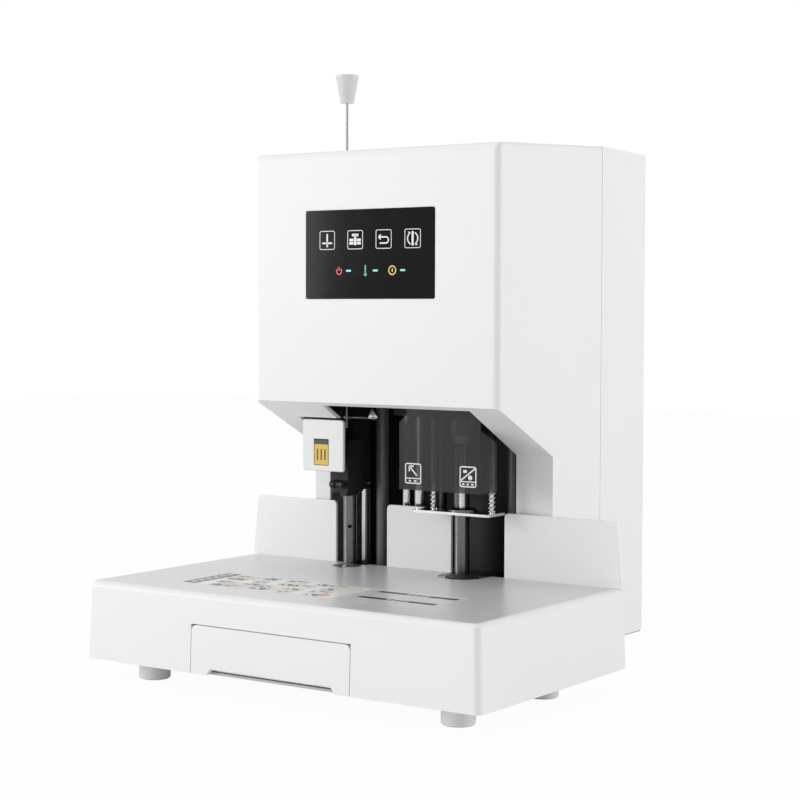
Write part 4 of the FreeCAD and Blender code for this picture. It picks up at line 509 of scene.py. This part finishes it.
# ---------------------------------------------------------------- press plate, posts and springs
# Bright steel plate with a ground collar that holds the paper down before the drill bites. It hangs on two
# posts, each in a coil spring of chromed wire that pushes it down and gives as the drill goes on.
pressed_steel = machined("pressed_steel", (0.66, 0.66, 0.67), 0.22, lines=(1, 40, 40))
dress(pressed_steel, "press_plate")
dress(chrome_steel, "press_posts")
# the collar takes the same darkened steel, a painted dark reflection
dress(ground_steel_painted_dark, "guide_collar")
low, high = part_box("press_springs")
wire, turns, wire_sides, coil_steps = 0.0007, 20, 8, 20
coil, closed_ends = (high.y - low.y) / 2 - wire, 6 * wire
pitch = (high.z - low.z - closed_ends) / turns
springs = bmesh.new()
for side in (low.x + coil + wire, high.x - coil - wire):
    axis = Vector((side, (low.y + high.y) / 2, 0))
    start = Matrix.Translation(axis + Vector((coil, 0, low.z + wire)))
    ring = bmesh.ops.create_circle(springs, cap_ends=True, segments=wire_sides, radius=wire,
                                   matrix=start @ Matrix.Rotation(math.radians(90), 4, "X"))
    end = [*ring["verts"], *{e for v in ring["verts"] for e in v.link_edges},
           *{f for v in ring["verts"] for f in v.link_faces}]
    for rounds, climb in ((1, 2 * wire), (turns, pitch), (1, 2 * wire)):
        end = bmesh.ops.spin(springs, geom=end, cent=axis, axis=(0, 0, 1), dvec=(0, 0, climb / coil_steps),
                             angle=math.tau * rounds, steps=rounds * coil_steps)["geom_last"]
coils = piece("coil_springs", springs, chrome_steel, "drill_slide", ["press_springs"], 80)
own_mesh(coils)


# ---------------------------------------------------------------- smoked guard
# Hood of smoked transparent plastic in front of the spindle, with its flange on the head's inner wall.
# Two plain white marks are printed on it: an arrow, and a slanted bar between a dot and a square.
smoked_clear = moulded("smoked_clear", (0.008, 0.008, 0.009), 0.14, grain=0.004, depth=0.000004, wander=0.1,
                       Alpha=0.66, Coat_Weight=0.3, Coat_Roughness=0.05)
dress(smoked_clear, "drill_guard")
guard_front = -0.0255
ink_white = ink("ink_white", (0.88, 0.88, 0.88), 0.35)
arrow_mark, bar_mark, mark_row, divide, caption_row = 0.0197, 0.0760, 0.1759, 0.1717, 0.1695
arrow_tip = (0.0156, 0.1822)
marks = bmesh.new()
for x in (arrow_mark, bar_mark):
    outline(marks, (x, mark_row), 0.0158, 0.0168, 0.0016, 0.0011)
    stroke(marks, (x - 0.0075, divide), (x + 0.0075, divide), 0.0009)
stroke(marks, (0.0236, 0.1742), (0.0160, 0.1818), 0.0013)
stroke(marks, arrow_tip, (0.0202, 0.1822), 0.0013)
stroke(marks, arrow_tip, (0.0156, 0.1776), 0.0013)
stroke(marks, (0.0690, 0.1727), (0.0830, 0.1831), 0.0012)
stroke(marks, (0.0712, 0.1804), (0.0748, 0.1804), 0.0024)
dot(marks, (0.0782, 0.1752), 0.0021)
for x in (0.0164, 0.0218, 0.0712, 0.0758, 0.0804):
    patch(marks, (x, caption_row), 0.0024, 0.0014)
printed("guard_marks", marks, ink_white, "machine", guard_front - ink_coat / 2, upright=True)


# ---------------------------------------------------------------- touch panel and its board
# Polished black panel set flush in the head, screen-printed from behind: four keys in frames, and three
# signs that each have a lit bar beside them. The circuit board sits behind it on four studs.
glass_black = moulded("glass_black", (0.009, 0.009, 0.010), 0.10, grain=0.02, depth=0.000001, wander=0.2,
                      Specular_IOR_Level=0.08)
dress(glass_black, "control_panel")
panel_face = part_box("control_panel")[0].y - ink_coat / 2
drill_key, rivet_key, back_key, turn_key = -0.0471, -0.0172, 0.0126, 0.0424
key_row, fine = 0.3766, 0.0012
keys = bmesh.new()
for x in (drill_key, rivet_key, back_key, turn_key):
    outline(keys, (x, key_row), 0.0158, 0.0156, 0.0015, 0.0006)

x = drill_key
stroke(keys, (x, key_row + 0.0055), (x, key_row - 0.0058), 0.0016)
stroke(keys, (x - 0.0052, key_row - 0.0025), (x + 0.0052, key_row - 0.0025), 0.0014)

x, cap_row = rivet_key, key_row + 0.0040
stroke(keys, (x - 0.0034, cap_row), (x + 0.0034, cap_row), 0.0022)
stroke(keys, (x, cap_row), (x, key_row - 0.0046), 0.0024)
for side in (-1, 1):
    for sheet_row in (key_row - 0.0002, key_row - 0.0030):
        stroke(keys, (x + side * 0.0019, sheet_row), (x + side * 0.0060, sheet_row), 0.0022)

x, upper, lower, bend = back_key, key_row + 0.0018, key_row - 0.0034, 0.0024
stroke(keys, (x - 0.0040, upper), (x + bend, upper), fine)
sweep(keys, (x + bend, key_row - 0.0008), 0.0026, fine, -90, 180)
stroke(keys, (x + bend, lower), (x - 0.0040, lower), fine)
for slant in (-1, 1):
    stroke(keys, (x - 0.0052, upper), (x - 0.0030, upper + slant * 0.0020), fine)

x, arc_radius, arc_angle = turn_key, 0.0052, 130
stroke(keys, (x, key_row + 0.0060), (x, key_row - 0.0060), 0.0020)
for arc_start in (115, -65):
    sweep(keys, (x, key_row), arc_radius, 0.0011, arc_start, arc_angle)
    turn = Matrix.Rotation(math.radians(arc_start), 2)
    tip = Vector((x, key_row)) + turn @ Vector((arc_radius, 0))
    stroke(keys, tip, tip + turn @ Vector((0.0016, 0.0020)), 0.0011)
printed("panel_keys", keys, ink_white, "machine", panel_face, upright=True)


def lamp(name, colour, strength):
    """A sign or bar that is lit from behind."""
    return ink(name, colour, 0.3, Emission_Color=(*colour, 1), Emission_Strength=strength)


lamp_red = lamp("lamp_red", (0.62, 0.03, 0.05), 0.5)
lamp_green = lamp("lamp_green", (0.05, 0.36, 0.24), 0.5)
lamp_yellow = lamp("lamp_yellow", (0.66, 0.47, 0.10), 0.5)
lamp_teal = lamp("lamp_teal", (0.16, 0.55, 0.52), 0.6)
power_sign, heat_sign, ready_sign, signs_row = -0.0343, -0.0064, 0.0216, 0.3502
power, heat, ready, lit_bars = (bmesh.new() for _ in range(4))
sweep(power, (power_sign, signs_row - 0.0004), 0.0026, 0.0009, 125, 290)
stroke(power, (power_sign, signs_row + 0.0002), (power_sign, signs_row + 0.0036), 0.0009)
printed("panel_power_sign", power, lamp_red, "machine", panel_face, upright=True)
stroke(heat, (heat_sign, signs_row - 0.0030), (heat_sign, signs_row + 0.0048), 0.0013)
dot(heat, (heat_sign, signs_row - 0.0032), 0.0015)
printed("panel_heat_sign", heat, lamp_green, "machine", panel_face, upright=True)
sweep(ready, (ready_sign, signs_row), 0.0036, 0.0009)
stroke(ready, (ready_sign, signs_row - 0.0014), (ready_sign, signs_row + 0.0016), 0.0010)
printed("panel_ready_sign", ready, lamp_yellow, "machine", panel_face, upright=True)
for x in (-0.0242, 0.0040, 0.0323):
    patch(lit_bars, (x, signs_row), 0.0050, 0.0016)
printed("panel_lit_bars", lit_bars, lamp_teal, "machine", panel_face, upright=True)

tracks_per_metre, copper_share, copper_rise = 240, 0.34, 0.00004
circuit_green = Finish("circuit_green", Roughness=0.42)
tracks = circuit_green.place.node("ShaderNodeTexVoronoi", {"distance": "MANHATTAN", "feature": "F1"},
                                  {"Vector": circuit_green.place, "Scale": tracks_per_metre})
copper = tracks < copper_share
circuit_green.feed("Base Color", circuit_green.mix(copper, (0.02, 0.13, 0.05), (0.05, 0.26, 0.11)))
circuit_green.relief(copper, copper_rise)
dress(circuit_green, "control_board")


# ---------------------------------------------------------------- paper bin
# Drawer of the same white ABS as the base. It catches the drilled chips, its front closes the opening
# in the base, and a notch in the front's lower edge takes the fingers.
dress(white_shell, "paper_bin")


# ---------------------------------------------------------------- mains inlet, switch and supply
# Snap-in inlet with three pins and a rocker switch beside it, both moulded in the small knob's black
# plastic, and the supply in its closed sheet case on the rear of the back plate.
dress(black_plastic, "power_inlet", "power_switch", "switch_rocker")
supply_case = machined("supply_case", (0.58, 0.59, 0.60), 0.36, lines=(40, 1, 1))
dress(supply_case, "power_supply")


def block(shape, low, high, edge):
    """A block between two corners, with its edges rounded."""
    low, high = Vector(low), Vector(high)
    size = Matrix.LocRotScale((low + high) / 2, None, high - low)
    made = bmesh.ops.create_cube(shape, size=1, matrix=size)
    edges = list({e for v in made["verts"] for e in v.link_edges})
    bmesh.ops.bevel(shape, geom=edges, offset=edge, segments=2, profile=0.5, affect="EDGES", material=-1)


inlet_across, pin_pitch, pin_row, earth_row = -0.070, 0.007, 0.0585, 0.0625
pin_foot, pin_end, pin_reach, pin_rise = 0.1835, 0.198, 0.0010, 0.0020
pins = bmesh.new()
for side, row in ((-1, pin_row), (0, earth_row), (1, pin_row)):
    x = inlet_across + side * pin_pitch
    block(pins, (x - pin_reach, pin_foot, row - pin_rise), (x + pin_reach, pin_end, row + pin_rise), 0.0005)
piece("inlet_pins", pins, bright_steel, "machine")

rest_tilt, half_tilt, mark_rise, mark_offset = 7, 10.1, 0.00245, 0.0045
rocker = Matrix.Translation((-0.030, 0.1955, 0.060)) @ Matrix.Rotation(math.radians(rest_tilt), 4, "X")
on_mark, off_mark = bmesh.new(), bmesh.new()
stroke(on_mark, (0, -0.0018), (0, 0.0018), 0.0009)
sweep(off_mark, (0, 0), 0.0017, 0.0008)
for name, sign, side in (("rocker_on_mark", on_mark, 1), ("rocker_off_mark", off_mark, -1)):
    lean = Matrix.Rotation(math.radians(-90 - side * half_tilt), 4, "X")
    face = Matrix.Translation((0, mark_rise, side * mark_offset)) @ lean
    bmesh.ops.transform(sign, matrix=rocker @ face, verts=sign.verts)
    piece(name, sign, ink_white, "rocker")


# ---------------------------------------------------------------- screws and bare plate on the back
# Six countersunk cross-head screws hold the rear cover, with their heads flush in its face; the cross
# recess and the gap round each head are painted shade in black ink. The foil low on the cover, where such
# machines carry their ratings, is bare brushed aluminium.
back_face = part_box("rear_cover")[1].y
heads, painted_recess_shade = bmesh.new(), bmesh.new()
for x in (-0.113, 0.113):
    for z in (0.040, 0.235, 0.440):
        dot(heads, (x, z), 0.0034)
        # dark ring and cross on each head: painted shade of the gap and of the recess
        sweep(painted_recess_shade, (x, z), 0.0036, 0.0005)
        for turn in (45, 135):
            arm = Matrix.Rotation(math.radians(turn), 2) @ Vector((0.0017, 0))
            stroke(painted_recess_shade, (x - arm.x, z - arm.y), (x + arm.x, z + arm.y), 0.0007)
printed("rear_screw_heads", heads, bright_steel, "machine", back_face, upright=True)
printed("rear_screw_painted_recess_shade", painted_recess_shade, black_ink_and_painted_shade, "machine", back_face + ink_coat, upright=True)
plate = bmesh.new()
patch(plate, (0.065, 0.062), 0.060, 0.036)
foil = machined("foil", (0.70, 0.70, 0.71), 0.34, lines=(1, 1, 50))
printed("rating_foil", plate, foil, "machine", back_face, upright=True)


# ---------------------------------------------------------------- studio
# Pale floor that runs out to a white surround, soft light from above, from the left front and from the
# right, and the camera before the machine's right front corner.
def seen_directly(anchor):
    """One for what the camera, gloss or glass looks at, and nothing for all other light."""
    seen = anchor.node("ShaderNodeLightPath", output="Is Camera Ray")
    for ray in ("Is Glossy Ray", "Is Transmission Ray"):
        seen = seen.maths("MAXIMUM", anchor.node("ShaderNodeLightPath", output=ray))
    return seen


floor_shape = bmesh.new()
bmesh.ops.create_grid(floor_shape, x_segments=1, y_segments=1, size=4)
floor_mesh = bpy.data.meshes.new("studio_floor")
floor_shape.to_mesh(floor_mesh)
floor_shape.free()
whiteness = 0.96
floor_paint = Finish("floor_paint", Roughness=0.9, Base_Color=(0.95, 0.95, 0.95, 1))
share = seen_directly(floor_paint.place) * whiteness
glow = floor_paint.place.node("ShaderNodeEmission", {}, {"Strength": 1.0})
paint = Spread(floor_paint.tree, floor_paint.shader.outputs["BSDF"])
mixed = share.node("ShaderNodeMixShader", {}, {0: share, 1: paint, 2: glow})
floor_paint.tree.links.new(mixed.socket, floor_paint.tree.nodes["Material Output"].inputs["Surface"])
floor_mesh.materials.append(floor_paint.material)
floor = bpy.data.objects.new("studio_floor", floor_mesh)
bpy.context.scene.collection.objects.link(floor)

world = bpy.data.worlds.new("studio")
world.use_nodes = True
surround = world.node_tree.nodes["Background"]
surround.inputs["Color"].default_value = (1, 1, 1, 1)
ambient = 0.60
strength = seen_directly(Spread(world.node_tree, surround.outputs["Background"])) * (1 - ambient) + ambient
world.node_tree.links.new(strength.socket, surround.inputs["Strength"])
bpy.context.scene.world = world
bpy.context.scene.view_settings.view_transform = "Standard"

middle = Vector((0, 0, 0.22))
lamps = (
    ("above", (-1.3, -0.9, 2.8), 1.6, 1.6, 14),
    ("left", (-2.8, -2.9, 0.85), 0.9, 1.7, 49),
    ("right", (3.0, 1.6, 0.7), 1.5, 1.5, 31),
)
for name, place, width, height, watts in lamps:
    light = bpy.data.lights.new(name, "AREA")
    light.shape, light.energy, light.size, light.size_y = "RECTANGLE", watts, width, height
    stand = bpy.data.objects.new(name, light)
    stand.location = place
    stand.rotation_euler = (middle - Vector(place)).to_track_quat("-Z", "Y").to_euler()
    stand.visible_camera = False
    bpy.context.scene.collection.objects.link(stand)

azimuth, elevation, roll = math.radians(34.94), math.radians(2.72), math.radians(0.16)
back = Vector((math.sin(azimuth) * math.cos(elevation), -math.cos(azimuth) * math.cos(elevation),
               math.sin(elevation)))
camera = bpy.data.objects.new("camera", bpy.data.cameras.new("camera"))
camera.data.lens, camera.data.sensor_width = 83.92, 36
camera.data.clip_start, camera.data.clip_end = 0.05, 50
level_turn = (-back).to_track_quat("-Z", "Y").to_matrix()
camera.rotation_euler = (level_turn @ Matrix.Rotation(roll, 3, "Z")).to_euler()
camera.location = (0.92906, -1.34724, 0.31557)
bpy.context.scene.collection.objects.link(camera)
bpy.context.scene.camera = camera
